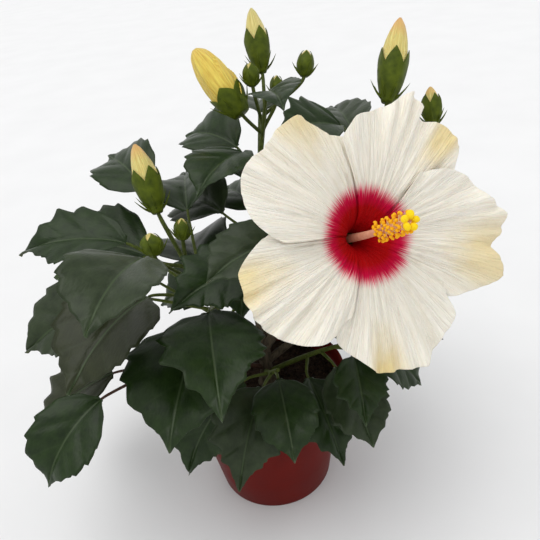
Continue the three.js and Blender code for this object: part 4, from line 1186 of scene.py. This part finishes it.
for i in range(stigmas["count"]):
    tip = from_column(foot, stigmas["reach"], 360 * i / stigmas["count"], stigmas["lift"])
    bow = foot + 0.35 * (tip - foot) + stigmas["bow"] * bloom_out
    arms.append((bent(t, foot, bow, tip), stigmas["arm"]))
    pad_spots.append(tip)
style_arms = swept_stems("style_arms", arms, sides=8, relief=0.0, material=column_skin)

grain_tree, given = geometry_tree("grains_on_points", {
    "Radius": "Float", "Detail": "Int", "Flatness": "Float", "Relief": "Float", "Seed": "Int",
    "Material": "Material"})
ball = add_node(grain_tree, "GeometryNodeMeshIcoSphere", {
    "Radius": given["Radius"], "Subdivisions": given["Detail"]})
squashed = add_node(grain_tree, "ShaderNodeCombineXYZ", {0: 1.0, 1: 1.0, 2: given["Flatness"]})
shaped = add_node(grain_tree, "GeometryNodeTransform", {
    "Geometry": ball.outputs[0], "Scale": squashed.outputs[0]})
dots = add_node(grain_tree, "GeometryNodeMeshToPoints", {"Mesh": given["Geometry"]})
grains = add_node(grain_tree, "GeometryNodeInstanceOnPoints", {
    "Points": dots.outputs[0], "Instance": shaped.outputs[0],
    "Rotation": random_turn(grain_tree, given["Seed"]),
    "Scale": random_size(grain_tree, *grain_sizes, given["Seed"])})
solid_grains = add_node(grain_tree, "GeometryNodeRealizeInstances", {"Geometry": grains.outputs[0]})
spot = add_node(grain_tree, "GeometryNodeInputPosition").outputs[0]
pollen = roughened(grain_tree, solid_grains.outputs[0], spot, scale=1800.0, detail=2.0,
                   relief=given["Relief"])
end_tree(grain_tree, pollen, given["Material"])


def grains_at(name, places, radius, flatness, detail, relief, material):
    """Small flattened balls with a rough skin, one at each place."""
    mesh = bpy.data.meshes.new(name + "_places")
    mesh.from_pydata((np.array(places) / per_metre).tolist(), [], [])
    dots = add_object(name + "_places", mesh)
    made = grow(dots, name, grain_tree, {
        "Radius": radius / per_metre, "Detail": detail, "Flatness": flatness, "Relief": relief / per_metre,
        "Seed": grain_seed, "Material": material})
    bpy.data.objects.remove(dots)
    return made


anthers = grains_at("anthers", anther_spots, stamens["anther"], flatness=0.7, detail=2, relief=0.5,
                    material=anther_gold)
stigma_pads = grains_at("stigma_pads", pad_spots, stigmas["pad"], flatness=0.75, detail=3, relief=0.7,
                        material=stigma_yellow)
for piece in (shaft, stamen_threads, style_arms, anthers, stigma_pads):
    belongs(piece, "column", "bloom_column")

# ---- Calyx of the bloom ------------------------------------------------------------------------------
# A green cup holds the petals' feet, its rim cut into five pointed lobes. A ring of narrow bracts stands
# round its foot, and the cup narrows into the stalk behind.

calyx = {"seat": -0.75, "bottom": -7.7, "nub": 2, "foot_radius": 4.6, "dome": 2.9, "neck": 3.6, "widens": 0.9,
         "cup": 16, "flare": 0.14, "outside": 2.1, "inside": 1.3, "thins": 0.3, "lobes": 5, "notch": 0.12,
         "turned": 80, "columns": 80, "rows": 14}
cup_bracts = {"count": 7, "turned": 30, "length": 18, "radius": 1.1, "in": 1.6, "back": 4.8, "lean": 0.75,
              "curl": 0.2}

round_calyx = np.arange(calyx["columns"]) / calyx["columns"]
turn = calyx["turned"] + 360 * round_calyx
peak = abs((calyx["lobes"] * round_calyx) % 1 - 0.5) * 2
lobe_top = calyx["notch"] + (1 - calyx["notch"]) * peak


def calyx_wall(share, offset):
    """A ring of the cup, which follows the petals' tube at this offset and ends in its lobes."""
    rise = calyx["cup"] * lobe_top * share
    t = -bloom["opening"] * np.log(1 - (rise + 0.3) / bloom["depth"])
    tube = bloom["throat"] + (bloom["reach"] - bloom["throat"]) * t ** 1.25
    return in_bloom(tube + offset + calyx["flare"] * rise, turn, calyx["seat"] + rise)


def calyx_foot(share):
    bulge = (calyx["foot_radius"] - calyx["nub"]) * math.sin(math.pi / 2 * share)
    return in_bloom(calyx["nub"] + bulge, turn, calyx["bottom"] + calyx["dome"] * share)


def calyx_neck(share):
    height = calyx["bottom"] + calyx["dome"] + calyx["neck"] * share
    return in_bloom(calyx["foot_radius"] + calyx["widens"] * share, turn, height)


foot_rows = [calyx_foot(k / 8) for k in range(9)]
neck_rows = [calyx_neck(k / 4) for k in range(1, 4)]
shares = np.arange(calyx["rows"] + 1) / calyx["rows"]
outer_rows = [calyx_wall(share, calyx["outside"] - calyx["thins"] * share ** 3) for share in shares]
inner_rows = [calyx_wall(share, calyx["inside"]) for share in shares[::-1]]
parts = [swept_ring(foot_rows + neck_rows + outer_rows + inner_rows)]
for i in range(cup_bracts["count"]):
    angle = cup_bracts["turned"] + 360 * i / cup_bracts["count"]
    direction = unit(in_bloom(1, angle, cup_bracts["lean"]) - in_bloom(0, angle, 0))
    start = in_bloom(calyx["foot_radius"] - cup_bracts["in"], angle, -cup_bracts["back"])
    parts.append(spike(start, direction, cup_bracts["length"], cup_bracts["radius"],
                       cup_bracts["curl"] * bloom_out))
bloom_cup = make_piece("bloom_cup", *join_parts(parts), [sepal_green])
belongs(bloom_cup, "calyx", "bloom_calyx")

# ---- Floor, light and camera -------------------------------------------------------------------------
# A near-white floor, one broad soft light from above and the left, and a white surround that is brighter
# near the horizon. The camera looks down from a little above the crown, and is rolled slightly.

# The floor and the camera's place are in metres, angles in degrees, and the lens and sensor in millimetres.
floor_size = 24.0
floor_colours = ((0.785, 0.79, 0.80, 1), (0.81, 0.815, 0.825, 1))
sun = {"energy": 1.15, "spread": 50, "colour": (1.0, 0.99, 0.97), "falls": (0.22, 0.12, -1.0)}
horizon_light = 0.97
overhead_light = 0.82
haze_foot = 0.02
haze_top = 0.42
camera_at = (0.015, -0.372, 0.425)
camera_pitch = -31.2
camera_roll = -7
camera_lens = 40
sensor = 36

edge = floor_size / 2
corners = [(-edge, -edge, 0), (edge, -edge, 0), (edge, edge, 0), (-edge, edge, 0)]
floor_mesh = bpy.data.meshes.new("floor")
floor_mesh.from_pydata(corners, [], [(0, 1, 2, 3)])
floor = add_object("floor", floor_mesh)
pale, tree, shader = new_material("pale_floor", Roughness=0.7, Specular_IOR_Level=0.2)
grain = add_grain(tree, place_on_object(tree), scale=8.0, dark=floor_colours[0], light=floor_colours[1])
tree.links.new(grain["Color"], shader.inputs["Base Color"])
floor_mesh.materials.append(pale)

soft_sun = bpy.data.lights.new("soft_sun", "SUN")
soft_sun.energy = sun["energy"]
soft_sun.angle = math.radians(sun["spread"])
soft_sun.color = sun["colour"]
add_object("soft_sun", soft_sun).rotation_euler = Vector(sun["falls"]).to_track_quat("-Z", "Y").to_euler()

studio = bpy.data.worlds.new("studio")
studio.use_nodes = True
tree = studio.node_tree
lift = axes_of(tree, add_node(tree, "ShaderNodeTexCoord").outputs["Generated"])["Z"]
haze = ramp(tree, lift, haze_top, haze_foot, low=overhead_light, high=horizon_light, smooth=True)
tree.links.new(haze, tree.nodes["Background"].inputs["Strength"])
tree.nodes["Background"].inputs["Color"].default_value = white
bpy.context.scene.world = studio
bpy.context.scene.view_settings.view_transform = "Standard"

pitch = math.radians(camera_pitch)
roll = math.radians(camera_roll)
look = Vector((0, math.cos(pitch), math.sin(pitch)))
upright = Vector((0, -math.sin(pitch), math.cos(pitch)))
level = Vector((1, 0, 0))
right = level * math.cos(roll) + upright * math.sin(roll)
above = -level * math.sin(roll) + upright * math.cos(roll)
lens = bpy.data.cameras.new("camera")
lens.lens = camera_lens
lens.sensor_width = sensor
camera = add_object("camera", lens)
camera.matrix_world = Matrix.Translation(camera_at) @ Matrix((right, above, -look)).transposed().to_4x4()
bpy.context.scene.camera = camera
